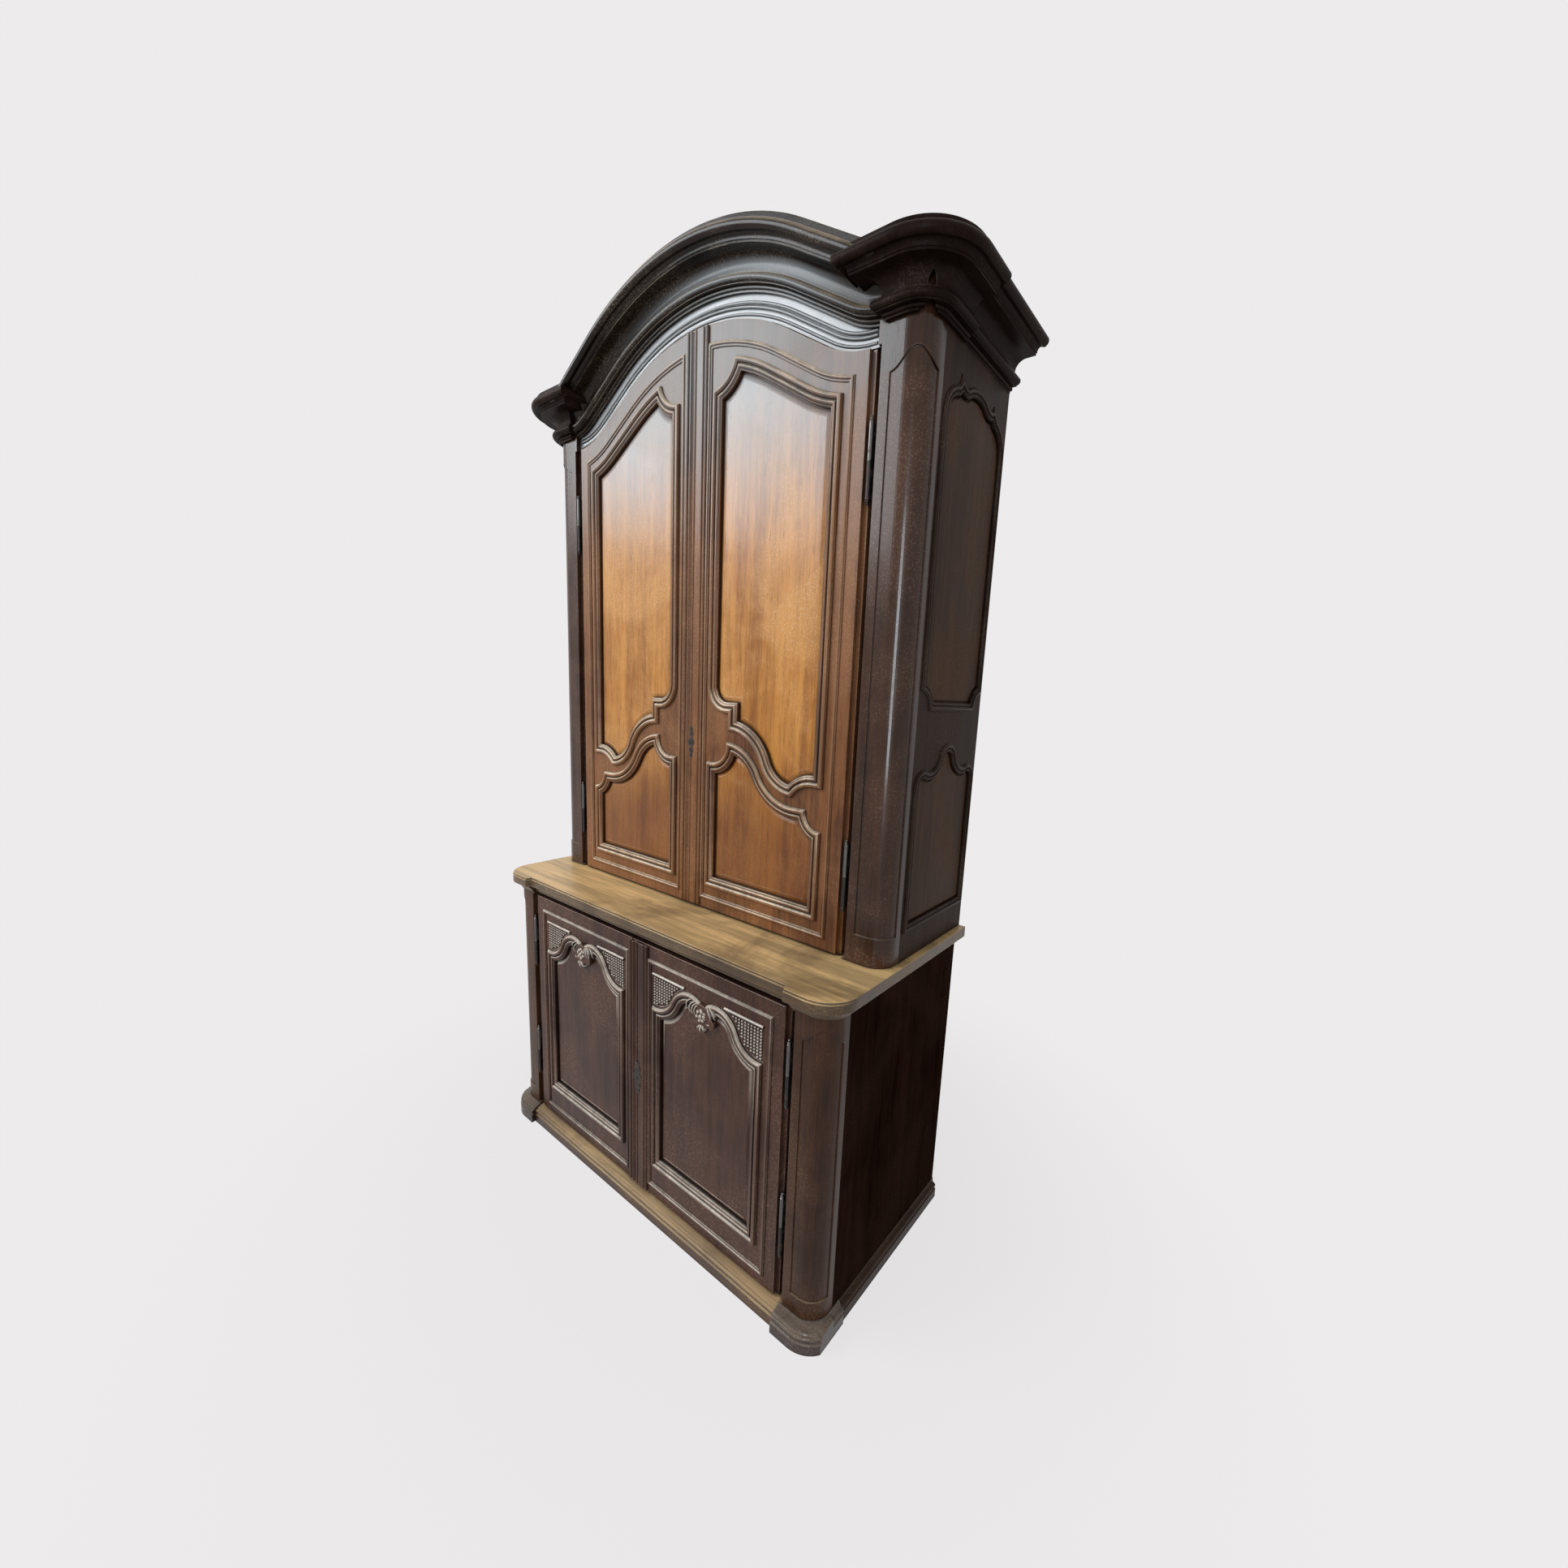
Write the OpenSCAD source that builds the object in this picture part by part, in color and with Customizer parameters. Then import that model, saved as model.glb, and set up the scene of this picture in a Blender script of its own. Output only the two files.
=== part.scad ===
// Two-part oak buffet: a lower body with two doors, a deep top board, and a set-back
// upper body with two arched doors under a moulded cornice. Front is -Y, floor is Z = 0.

/* [Lower body] */
// Width over the side boards
lower_w = 1366; // [1300:2:1440]
// Depth from the lower door faces to the back
lower_d = 633; // [560:1:700]
// Height of the top board's upper face
top_z = 924; // [860:1:980]
// Thickness of the top board
top_t = 30; // [24:1:36]
// Height of the cove under the top board
cove_h = 24; // [18:1:30]
// Overhang of the top board past the sides
top_side = 29; // [20:1:40]
// Overhang of the top board past the door faces
top_front = 18; // [12:1:26]
// How far corners break forward of the fronts between them
corner_step = 18; // [10:1:24]
// Height of the base moulding
plinth_h = 62; // [50:1:64]
// Reach of the base moulding past the lower door faces
plinth_front = 24; // [18:1:30]
// Reach of the base moulding past the sides
plinth_side = 14; // [8:1:20]
// Gap between the lower doors and the base moulding or the cove
lower_door_gap = 3; // [2:0.5:5]

/* [Corner posts] */
// Width of the front of a lower corner post
post_w = 112; // [100:1:120]
// Radius of the rounded corner of a post
post_r = 58; // [40:1:64]
// Depth of a corner post
post_d = 74; // [68:1:90]
// How far a post stands before the door faces
post_proud = 2; // [0:0.5:3]
// Width of the flat margin beside a post's sunk panel
post_margin = 32; // [24:1:40]
// Depth of the sunk panel in a post
post_sink = 3; // [2:0.5:4]
// Width of the two rear posts
rear_post_w = 50; // [40:1:60]

/* [Upper body] */
// How far the upper side frames stand outside the lower sides
upper_over = 9; // [0:0.5:12]
// How far the upper door faces stand behind the lower ones
setback = 193; // [150:1:230]
// Height of the cornice
cornice_h = 125; // [125:1:150]
// Thickness of the arched board over the doors
arch_board_t = 24; // [18:1:30]

/* [Arch] */
// Height of the doors' crest at the middle
crest_z = 2518; // [2480:1:2560]
// Radius of the raised middle of the arch
arch_r = 600; // [560:1:640]
// Radius of the hollow end of the arch
hollow_r = 250; // [232:1:260]
// Slope where the middle runs into the hollow ends
arch_slope = 31; // [28:0.5:32]
// Distance from the doors' arched edge up to the cornice
arch_to_cornice = 57; // [50:1:62]
// Distance past a post's inner face to where the cornice runs level
cornice_past = 20; // [10:1:26]
// Distance past a post's inner face to where the corner cornice breaks forward
cornice_jog = 25; // [20:1:40]

/* [Doors] */
// Width of a door's stile outside its panels
stile_w = 76; // [70:1:90]
// Thickness of a door frame
door_t = 28; // [24:1:32]
// Gap between the two doors of a pair
seam_gap = 3; // [2:0.5:4]
// Reach of the closing strip left of the middle
strip_left = 25; // [15:1:30]
// Reach of the closing strip right of the middle
strip_right = 45; // [35:1:50]
// How far the closing strip stands proud
strip_proud = 6; // [4:0.5:8]
// Gap under the upper doors
upper_door_gap = 5; // [3:0.5:8]
// Distance from the middle to the inner edge of a panel's moulding
panel_in = 68; // [64:1:76]
// Width of the moulding round a panel
mould_w = 30; // [24:1:32]
// Thickness of a door panel at its edge
panel_t = 10; // [8:1:12]
// Thickness added by the raised field of a panel
field_t = 5; // [3:0.5:6]
// Width of the sloped border outside a raised field
field_margin = 16; // [12:1:16]
// Distance from a door's edge to the bead that frames it
bead_in = 46; // [40:1:50]
// Width of that bead
bead_w = 14; // [9:1:16]

/* [Ironwork] */
// Outer radius of a hinge barrel
barrel_r = 5.2; // [4.6:0.1:5.6]
// Gap between a hinge barrel and the wood at each side of it
barrel_gap_x = 0.3; // [0.3:0.1:1]
// Depth of the rebates that make room for the hinges
rebate_d = 12; // [10:0.5:14]
// Width of the rebate along a door's hinge edge
rebate_door = 11; // [6:0.5:14]
// Width of the rebate in a post beside a door
rebate_post = 8; // [4:0.5:12]
// Radius of a hinge pin
pin_r = 3; // [2.4:0.1:3.4]
// Running clearance round a hinge pin
pin_clear = 0.06; // [0.03:0.01:0.1]
// Length of a hinge barrel without its finials
barrel_l = 160; // [140:2:170]
// Thickness of a hinge leaf
leaf_t = 2.5; // [2:0.1:3]
// Length of a lock bolt's throw
throw = 14; // [10:1:16]

/* [Inside] */
// Thickness of shelves, bottoms and boards
board_t = 20; // [16:1:24]
// Thickness of the back boards
back_t = 14; // [10:1:18]
// Width of one back board
back_w = 170; // [130:1:230]

/* [Hidden] */

// Smoothness of round surfaces
$fn = 48;
// Step of points along a computed curve, in degrees
STEP = 6;
// Small reach that makes a cut pass right through
CUT = 1;
// Distance under which two points count as one
NEAR = 0.02;
// How many points ahead a loop is looked for
LOOP = 26;

// Planes across the depth, with the whole depth centred on the origin
CORNER_TUCK = 5;
depth_all = lower_d + plinth_front + corner_step - CORNER_TUCK;
back_y = depth_all / 2;
lower_face = back_y - lower_d;
upper_face = lower_face + setback;
lower_post_face = lower_face - post_proud;
upper_post_face = upper_face - post_proud;
// The boards between the posts lie behind the posts
board_back = 14;
upper_board_face = upper_post_face + board_back;
lower_rail_face = lower_post_face + board_back;

lower_x = lower_w / 2;
upper_x = lower_x + upper_over;
post_x = lower_x - post_w;

// Distances from the middle to a door's hinge edge and to the outer edge of its panels
door_half = post_x - 2 * (barrel_r + barrel_gap_x);
panel_out = door_half - stile_w;

// Where the cornice over the doors runs level, and where the corner cornice starts
cornice_half = post_x + cornice_past;
jog_x = post_x + cornice_jog;

// Heights of the lower body
cove_z = top_z - top_t - cove_h;
door_drop = 6;
lower_door_z0 = plinth_h + lower_door_gap - 1;
lower_door_z1 = cove_z - lower_door_gap - door_drop;
upper_door_z0 = top_z + upper_door_gap;

// Arch: a convex arc, a straight slope and a hollow arc that ends level at x = half
arch_c1 = [0, crest_z - arch_r];
arch_p1 = arch_c1 + arch_r * [sin(arch_slope), cos(arch_slope)];
board_gap = 3;

function slope_len(half) = (half - (hollow_r + arch_r) * sin(arch_slope)) / cos(arch_slope);

function hollow_c(half) =
  arch_p1
  + slope_len(half) * [cos(arch_slope), -sin(arch_slope)]
  + hollow_r * [sin(arch_slope), cos(arch_slope)];

// Height of the cornice's lower edge at the corners
cornice_z = hollow_c(cornice_half)[1] - hollow_r + arch_to_cornice;

// Points of an arc, from angle a0 to angle a1 about c
function arc(c, r, a0, a1) =
  let (n = max(2, ceil(abs(a1 - a0) / STEP)))
  [for (i = [0:n]) let (t = a0 + (a1 - a0) * i / n) c + r * [cos(t), sin(t)]];

// Right half of the arch, raised by d, from x = x0 out to x = x1
function arch_half(d, x0, x1) =
  let (
    r1 = arch_r + d,
    r2 = hollow_r - d,
    c2 = hollow_c(door_half),
    t0 = asin(x0 / r1),
    t1 = asin(max(0, (door_half - x1) / r2))
  )
  concat(
    arc(arch_c1, r1, 90 - t0, 90 - arch_slope),
    arc(c2, r2, 270 - arch_slope, 270 - t1),
    x1 > door_half ? [[x1, c2[1] - r2]] : []
  );

function reverse(pts) = [for (i = [len(pts) - 1:-1:0]) pts[i]];

// Outline without points that repeat the one before
function distinct(pts) =
  [for (i = [0:len(pts) - 1])
    if (norm(pts[i] - pts[(i + len(pts) - 1) % len(pts)]) > NEAR) pts[i]];

// Where line a-b crosses line c-d between their ends
function crossing(a, b, c, d) =
  let (u = b - a, v = d - c, w = c - a, k = u[0] * v[1] - u[1] * v[0])
  abs(k) < NEAR * NEAR ? undef :
    let (s = (w[0] * v[1] - w[1] * v[0]) / k, t = (w[0] * u[1] - w[1] * u[0]) / k)
    s > 0 && s < 1 && t > 0 && t < 1 ? a + s * u : undef;

function next_crossing(pts, i, j) =
  j >= min(len(pts), i + LOOP) ? undef :
    let (x = crossing(pts[i], pts[i + 1], pts[j], pts[(j + 1) % len(pts)]))
    x == undef ? next_crossing(pts, i, j + 1) : [j, x];

// Outline with the small loops that a wide inset leaves cut off
function unlooped(pts, i = 0, out = []) =
  i >= len(pts) - 1 ? concat(out, [pts[len(pts) - 1]]) :
    let (f = next_crossing(pts, i, i + 2))
    f == undef
      ? unlooped(pts, i + 1, concat(out, [pts[i]]))
      : unlooped(pts, f[0] + 1, concat(out, [pts[i], f[1]]));

function flip(pts) = [for (i = [len(pts) - 1:-1:0]) [-pts[i][0], pts[i][1]]];

// Both halves of the arch raised by d, from x = -x1 to x = x1
function arch_full(d, x1) = distinct(concat(flip(arch_half(d, 0, x1)), arch_half(d, 0, x1)));

// Outline moved inwards by d, corner by corner (counter-clockwise outlines)
function inset(outline, d) =
  let (pts = distinct(outline), n = len(pts))
  unlooped([for (i = [0:n - 1])
    let (
      a = pts[(i + n - 1) % n],
      b = pts[i],
      c = pts[(i + 1) % n],
      u = (b - a) / norm(b - a),
      v = (c - b) / norm(c - b),
      m = [-(u[1] + v[1]), u[0] + v[0]],
      k = max(0.35, norm(m) / 2)
    )
    b + m / norm(m) * d / k]);

// Places a drawing in x and z as a board: front face at y, going back by t
module board(y, t) {
  translate([0, y + t, 0])
    rotate([90, 0, 0])
      linear_extrude(t)
        children();
}

// Carries a drawing (rise, reach) along the arch, raised by d, before the face at y
module arch_run(d, y, half, end_x) {
  c2 = hollow_c(half);
  translate([0, y, arch_c1[1]])
    rotate([90, 0, 0])
      rotate([0, 0, 90 - arch_slope])
        rotate_extrude(angle = 2 * arch_slope, $fn = 120)
          translate([arch_r + d, 0])
            children();
  for (side = [0, 1])
    mirror([side, 0, 0]) {
      translate([arch_p1[0], y, arch_p1[1]])
        rotate([0, arch_slope, 0])
          translate([0, 0, d])
            rotate([90, 0, 90])
              linear_extrude(slope_len(half))
                rotate(90)
                  children();
      intersection() {
        translate([c2[0], y, c2[1]])
          rotate([90, 0, 0])
            rotate([0, 0, 270 - arch_slope])
              rotate_extrude(angle = arch_slope, $fn = 120)
                translate([hollow_r - d, 0])
                  mirror([1, 0])
                    children();
        translate([0, y - end_x, 0])
          cube([end_x, 2 * end_x, 2 * crest_z]);
      }
      if (end_x > c2[0])
        translate([c2[0], y, c2[1] - hollow_r + d])
          rotate([90, 0, 90])
            linear_extrude(end_x - c2[0])
              rotate(90)
                children();
    }
}

// Carries a drawing (reach, height) round a right-hand corner: front, round, side
module corner_run(c, r, x_in, y_end) {
  translate([c[0], c[1] - r, 0])
    rotate([90, 0, -90])
      linear_extrude(c[0] - x_in)
        children();
  translate([c[0], c[1], 0])
    rotate([0, 0, -90])
      rotate_extrude(angle = 90, $fn = 96)
        translate([r, 0])
          children();
  translate([c[0] + r, y_end, 0])
    rotate([90, 0, 0])
      linear_extrude(y_end - c[1])
        children();
}

// A drawing (reach, height) carried along X between two places before the face at y
module front_run(x0, x1, y) {
  translate([x1, y, 0])
    rotate([90, 0, -90])
      linear_extrude(x1 - x0)
        children();
}

// Centre of the rounded corner of a post whose outer side is at x
function post_c(x, face) = [x - post_r, face + post_r];

/* Mouldings, as (reach, height) drawings that start at height 0 */

// Cornice: fillets, a bead, a torus, a neck, a large hollow, a fillet, a cove and the crown
CROWN_REACH = 95;
TORUS_REACH = 33;
NECK_REACH = 16;
HOLLOW_R = 26;
function cornice_pts() = concat(
  [[0, 0], [8, 0], [8, 5]],
  arc([10, 9], 4, -90, 90),
  [[TORUS_REACH - 9, 13]],
  arc([TORUS_REACH - 9, 24], 9, -90, 90),
  [[NECK_REACH + 5, 35], [NECK_REACH + 5, 39], [NECK_REACH, 39]],
  arc([NECK_REACH + HOLLOW_R, 47], HOLLOW_R, 180, 90),
  [[66, 73], [66, 78]],
  arc([82, 78], 14, 180, 120),
  arc([CROWN_REACH - 13, 99], 13, -75, 90),
  [[CROWN_REACH - 17, 113], [CROWN_REACH - 17, cornice_h], [0, cornice_h]]
);

module cornice_profile(back) {
  polygon(concat([[-back, 0]], cornice_pts(), [[-back, cornice_h]]));
}

// The same moulding, drawn as (rise, reach) for the arch
module cornice_rise() {
  polygon([for (p = cornice_pts()) [p[1], p[0]]]);
}

// Base moulding: a tall flat, a fillet, a torus and a slope up to the doors
PLINTH_TORUS = 8;
PLINTH_FILLET = 3;
PLINTH_TOP = 2;
module plinth_profile(reach) {
  z = plinth_h / 2;
  torus_x = reach - PLINTH_TORUS - 1;
  torus_top = z + 2 * PLINTH_TORUS;
  polygon(concat(
    [[0, 0], [reach, 0], [reach, z - PLINTH_FILLET], [reach - 2, z - 1]],
    arc([torus_x, z + PLINTH_TORUS], PLINTH_TORUS, -60, 90),
    [[torus_x - 2, torus_top + PLINTH_FILLET], [PLINTH_TOP, plinth_h - PLINTH_FILLET]],
    [[PLINTH_TOP, plinth_h], [0, plinth_h]]
  ));
}

// Hollow under the edge of the top board
COVE_FOOT = 4;
module cove_profile(reach) {
  polygon(concat(
    [[0, 0], [COVE_FOOT, 0]],
    arc([reach, 0], reach - COVE_FOOT - 2, 180, 110),
    [[reach - 2, cove_h], [0, cove_h]]
  ));
}

/* Lower body */

plinth_y = lower_rail_face;
foot_reach = plinth_front + corner_step - CORNER_TUCK - post_proud;
plinth_reach = lower_rail_face - lower_face + plinth_front;
// Length of the corner block of a foot along the side, and its reach past the side moulding
foot_side = 46;
foot_past = 4;

module plinth_front() {
  color("saddlebrown")
    front_run(-post_x, post_x, plinth_y)
      plinth_profile(plinth_reach);
}

module plinth_sides() {
  color("saddlebrown")
    for (side = [0, 1])
      mirror([side, 0, 0])
        translate([lower_x, back_y, 0])
          rotate([90, 0, 0])
            linear_extrude(back_y - post_c(lower_x, lower_post_face)[1] - foot_side)
              plinth_profile(plinth_side);
}

module front_foot(side) {
  c = post_c(lower_x, lower_post_face);
  mirror([side, 0, 0]) {
    // Front, round and side of the foot, each on the face of the post
    translate([c[0], c[1] - post_r, 0])
      rotate([90, 0, -90])
        linear_extrude(c[0] - post_x)
          plinth_profile(foot_reach);
    intersection() {
      translate([c[0], c[1], 0])
        rotate([0, 0, -90])
          rotate_extrude(angle = 90, $fn = 96)
            translate([post_r, 0])
              plinth_profile(foot_reach);
      translate([c[0], c[1] - post_r - foot_reach - CUT, -CUT])
        cube([post_r + plinth_side + foot_past, post_r + foot_reach + CUT, plinth_h + 2 * CUT]);
    }
    translate([lower_x, c[1] + foot_side, 0])
      rotate([90, 0, 0])
        linear_extrude(foot_side)
          plinth_profile(plinth_side + foot_past);
  }
}

module front_foot_left() {
  color("sienna")
    front_foot(1);
}

module front_foot_right() {
  color("sienna")
    front_foot(0);
}

// Plan of a corner post, with its outer front corner rounded
module post_plan(x, face, d0) {
  c = post_c(x, face);
  polygon(concat(
    [[post_x, face + post_d], [post_x, face + d0]],
    arc(c, post_r - d0, 270, 360),
    [[x - d0, face + post_d]]
  ));
}

// Front view of a post's sunk panel: its head is an ogee wrapped round the corner
head_rise = 40;
head_steps = 16;
function panel_head(x, p1) =
  let (flat = x - post_r - post_x - post_margin, girth = flat + post_r * PI / 2)
  [for (i = [0:head_steps])
    let (s = girth * i / head_steps, turn = max(0, s - flat) / post_r * 180 / PI)
    [x - post_r + min(0, s - flat) + post_r * sin(turn),
     p1 - head_rise + head_rise * (1 - cos(360 * i / head_steps)) / 2]];

// A corner post from z0 to z1 with a sunk panel from p0 to p1
module corner_post(x, face, z0, z1, p0, p1) {
  difference() {
    translate([0, 0, z0])
      linear_extrude(z1 - z0)
        post_plan(x, face, 0);
    difference() {
      board(face - CUT, post_r - 4)
        polygon(concat(
          panel_head(x, p1),
          [[x + CUT, p1 - head_rise], [x + CUT, p0], [post_x + post_margin, p0]]
        ));
      translate([0, 0, z0 - CUT])
        linear_extrude(z1 - z0 + 2 * CUT)
          post_plan(x, face, post_sink);
    }
  }
}

// Heights of the posts' sunk panels, from the plain blocks under and over them
lower_foot_block = 50;
lower_head_block = 30;
upper_foot_block = 76;
upper_head_block = 58;
lower_panel_z0 = plinth_h + lower_foot_block;
lower_panel_z1 = cove_z - lower_head_block;
upper_panel_z0 = top_z + upper_foot_block;
upper_panel_z1 = cornice_z - upper_head_block;

// Room for the hinges: a rebate from z0 to z1 between two places, behind the face
module rebate(face, x0, x1, z0, z1) {
  translate([x0, face - post_proud - CUT, z0])
    cube([x1 - x0, rebate_d + post_proud + CUT, z1 - z0]);
}

module lower_corner_post(side) {
  mirror([side, 0, 0])
    difference() {
      corner_post(lower_x, lower_post_face, 0, top_z - top_t, lower_panel_z0, lower_panel_z1);
      rebate(lower_face, post_x - CUT, post_x + rebate_post, lower_door_z0, lower_door_z1);
      hinge_slots(lower_face, lower_hinges);
    }
}

module lower_corner_post_left() {
  color("saddlebrown")
    lower_corner_post(1);
}

module lower_corner_post_right() {
  color("saddlebrown")
    lower_corner_post(0);
}

module rear_posts(x, z0, z1) {
  for (side = [0, 1])
    mirror([side, 0, 0])
      translate([x - rear_post_w, back_y - rear_post_w, z0])
        cube([rear_post_w, rear_post_w, z1 - z0]);
}

module lower_rear_posts() {
  color("saddlebrown")
    rear_posts(lower_x, 0, top_z - top_t);
}

side_boards = 3;

module lower_side(side) {
  y0 = lower_post_face + post_d;
  w = (back_y - rear_post_w - y0) / side_boards;
  mirror([side, 0, 0])
    for (i = [0:side_boards - 1])
      translate([lower_x - board_t, y0 + i * w, plinth_h / 2])
        cube([board_t, w, top_z - top_t - plinth_h / 2]);
}

module lower_side_left() {
  color("saddlebrown")
    lower_side(1);
}

module lower_side_right() {
  color("saddlebrown")
    lower_side(0);
}

// Inner width of the lower body and of the upper body
lower_in = lower_x - board_t;
side_t = 24;
upper_in = upper_x - side_t;
inner_y0 = lower_post_face + post_d;
upper_inner_y0 = upper_post_face + post_d;
inner_y1 = back_y - back_t;
lower_floor_z = plinth_h - board_t;
floor_tongue = post_d - door_t - board_back;
rail_t = lower_post_face + post_d - floor_tongue - lower_rail_face;

// Board cut round the rear posts, with a tongue of depth front between the corner posts
module shelf_boards(w, y0, y1, z, rear, front) {
  difference() {
    union() {
      translate([-w, y0, z])
        cube([2 * w, y1 - y0, board_t]);
      translate([-post_x, y0 - front, z])
        cube([2 * post_x, y1 - y0, board_t]);
    }
    for (side = [0, 1])
      mirror([side, 0, 0])
        translate([rear - rear_post_w, back_y - rear_post_w, z - CUT])
          cube([2 * rear_post_w, rear_post_w + CUT, board_t + 2 * CUT]);
  }
}

module lower_bottom_boards() {
  color("peru")
    shelf_boards(lower_in, inner_y0, inner_y1, lower_floor_z, lower_x, floor_tongue);
}

lower_shelf_z = (lower_floor_z + cove_z) / 2;

module lower_shelf() {
  color("peru")
    shelf_boards(lower_in, inner_y0, inner_y1, lower_shelf_z, lower_x, 0);
}

// Back boards side by side with open joints, from z0 up to z1
BACK_JOINT = 0.5;
module back_boards(w, z0, z1) {
  n = floor(2 * w / back_w);
  bw = 2 * w / n;
  for (i = [0:n - 1]) {
    joint = i == 0 ? 0 : BACK_JOINT;
    translate([-w + i * bw + joint, back_y - back_t, z0])
      cube([bw - joint, back_t, z1 - z0]);
  }
}

lower_back_z0 = 40;

module lower_back_boards() {
  color("burlywood")
    back_boards(lower_x - rear_post_w, lower_back_z0, top_z - top_t);
}

// Rails over and under the lower doors, between the posts
rail_drop = 4;

module lower_front_rails() {
  color("saddlebrown") {
    difference() {
      translate([-post_x, lower_rail_face, cove_z - rail_drop])
        cube([2 * post_x, rail_t + floor_tongue, top_z - top_t - cove_z + rail_drop]);
      bolt_hole(lower_face, cove_z - rail_drop - CUT, throw + door_drop);
    }
    translate([-post_x, lower_rail_face, 0])
      cube([2 * post_x, rail_t, plinth_h]);
  }
}

top_r = post_r + top_side;
// How far inside the posts the top board steps forward, and the slant of that step
top_break = 14;
top_slant = 8;

// Plan of the top board: stepped forward and rounded at the corners
module top_plan() {
  front = lower_face - top_front;
  corner_front = front - corner_step + 1;
  cc = [lower_x + top_side - top_r, corner_front + top_r];
  half = concat(
    [[post_x - top_break, front], [post_x - top_break + top_slant, corner_front]],
    arc(cc, top_r, 270, 360),
    [[lower_x + top_side, back_y]]
  );
  polygon(concat(half, flip(half)));
}

// Small step worked along the upper front edge of the top board
edge_h = 6;
edge_in = 3;

module countertop() {
  color("goldenrod")
    difference() {
      union() {
        translate([0, 0, top_z - top_t])
          linear_extrude(top_t - edge_h)
            top_plan();
        translate([0, 0, top_z - edge_h])
          linear_extrude(edge_h)
            intersection() {
              top_plan();
              translate([0, edge_in])
                top_plan();
            }
      }
      bolt_hole(upper_face, top_z - throw, throw + CUT);
    }
}

// The hollow stops short of the top board's edge
cove_short = 4;
cove_front = lower_rail_face - lower_face + top_front - cove_short;

module countertop_cove() {
  color("saddlebrown")
    for (side = [0, 1])
      mirror([side, 0, 0]) {
        translate([0, 0, cove_z])
          corner_run(post_c(lower_x, lower_post_face), post_r, post_x, back_y)
            cove_profile(top_side - cove_short - 2);
        translate([0, 0, cove_z])
          front_run(0, post_x, lower_rail_face)
            cove_profile(cove_front);
      }
}

/* Upper body */

// Height of the upper doors at their hinge edge
upper_hinge_top = hollow_c(door_half)[1] - hollow_r;

module upper_corner_post(side) {
  mirror([side, 0, 0])
    difference() {
      corner_post(upper_x, upper_post_face, top_z, upper_side_z1,
                  upper_panel_z0, upper_panel_z1);
      rebate(upper_face, post_x - CUT, post_x + rebate_post, upper_door_z0, upper_hinge_top);
      hinge_slots(upper_face, upper_hinges);
    }
}

module upper_corner_post_left() {
  color("saddlebrown")
    upper_corner_post(1);
}

module upper_corner_post_right() {
  color("saddlebrown")
    upper_corner_post(0);
}

// The upper body's sides end a little under the top of the cornice
upper_side_z1 = cornice_z + cornice_h - 10;

module upper_rear_posts() {
  color("saddlebrown")
    rear_posts(upper_in, top_z, upper_side_z1);
}

// Side panels of the upper body: drawn in (y, z), about the middle of the side
side_front = upper_post_face + post_d;
side_mid = (side_front + back_y) / 2;
side_stile = 10;
side_half = (back_y - side_front) / 2 - side_stile;
side_rail_h = 84;
tall_z0 = 1554;
tall_drop = 62;
tall_crest = cornice_z - tall_drop;
tall_bite = 46;
low_z0 = top_z + 76;
low_crest = tall_z0 - side_rail_h;

// Tall head: a middle round, a dip that rises to a cusp, a hollow and a shoulder
tall_round_r = 120;
tall_dip = [70, 9];
tall_dip_r = 28;
tall_hollow_x = 130;
tall_hollow_r = 34;
tall_shoulder_r = 78;
tall_shoulder_drop = 105;

// Low head: a middle round, a hollow and a shoulder
low_round_r = 54;
low_hollow = [98, -8];
low_hollow_r = 58;
low_shoulder_r = 44;
low_shoulder_drop = 104;

// Arcs of a panel's head from its middle to its side, each as centre, radius and
// kind: 1 is a round and -1 a hollow
tall_arcs = [
  [[0, tall_crest - tall_round_r], tall_round_r, 1],
  [[0, tall_crest] + tall_dip, tall_dip_r, -1],
  [[tall_hollow_x, tall_crest], tall_hollow_r, -1],
  [[side_half - tall_shoulder_r, tall_crest - tall_shoulder_drop], tall_shoulder_r, 1]
];
low_arcs = [
  [[0, low_crest - low_round_r], low_round_r, 1],
  [[0, low_crest] + low_hollow, low_hollow_r, -1],
  [[side_half - low_shoulder_r, low_crest - low_shoulder_drop], low_shoulder_r, 1]
];

// Right half of such a head, moved inwards by d
function head_half(arcs, d) =
  let (
    last = len(arcs) - 1,
    r = [for (a = arcs) a[1] - a[2] * d],
    joints = [for (i = [0:last - 1])
      meet(arcs[i][0], r[i], arcs[i + 1][0], r[i + 1], -arcs[i][2])],
    ends = concat([arcs[0][0] + [0, r[0]]], joints, [arcs[last][0] + [r[last], 0]])
  )
  [for (i = [0:last]) each arc_between(arcs[i][0], ends[i], ends[i + 1], -arcs[i][2])];

// Whole outline over a foot at z0 whose corners are hollowed by bite, moved inwards by d
function side_outline(arcs, z0, bite, d) =
  let (
    reach = sqrt(pow(bite + d, 2) - d * d),
    corner = bite > 0
      ? arc_between([side_half, z0], [side_half - reach, z0 + d], [side_half - d, z0 + reach], -1)
      : [[side_half - d, z0 + d]],
    half = concat(corner, reverse(head_half(arcs, d)))
  )
  distinct(concat(half, flip(half)));

function tall_outline(d) = side_outline(tall_arcs, tall_z0, tall_bite, d);
function low_outline(d) = side_outline(low_arcs, low_z0, 0, d);

// Places a drawing in (y, z) on the right-hand side, from x inwards by t
module side_board(x, t) {
  translate([x - t, side_mid, 0])
    rotate([90, 0, 90])
      linear_extrude(t)
        children();
}

// Moulding round a side panel: inner and outer edges of its steps with their heights
side_mould_w = 20;
side_rings = [[0, side_mould_w, 2], [3, 10, 5], [14, 18, 4]];

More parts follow.
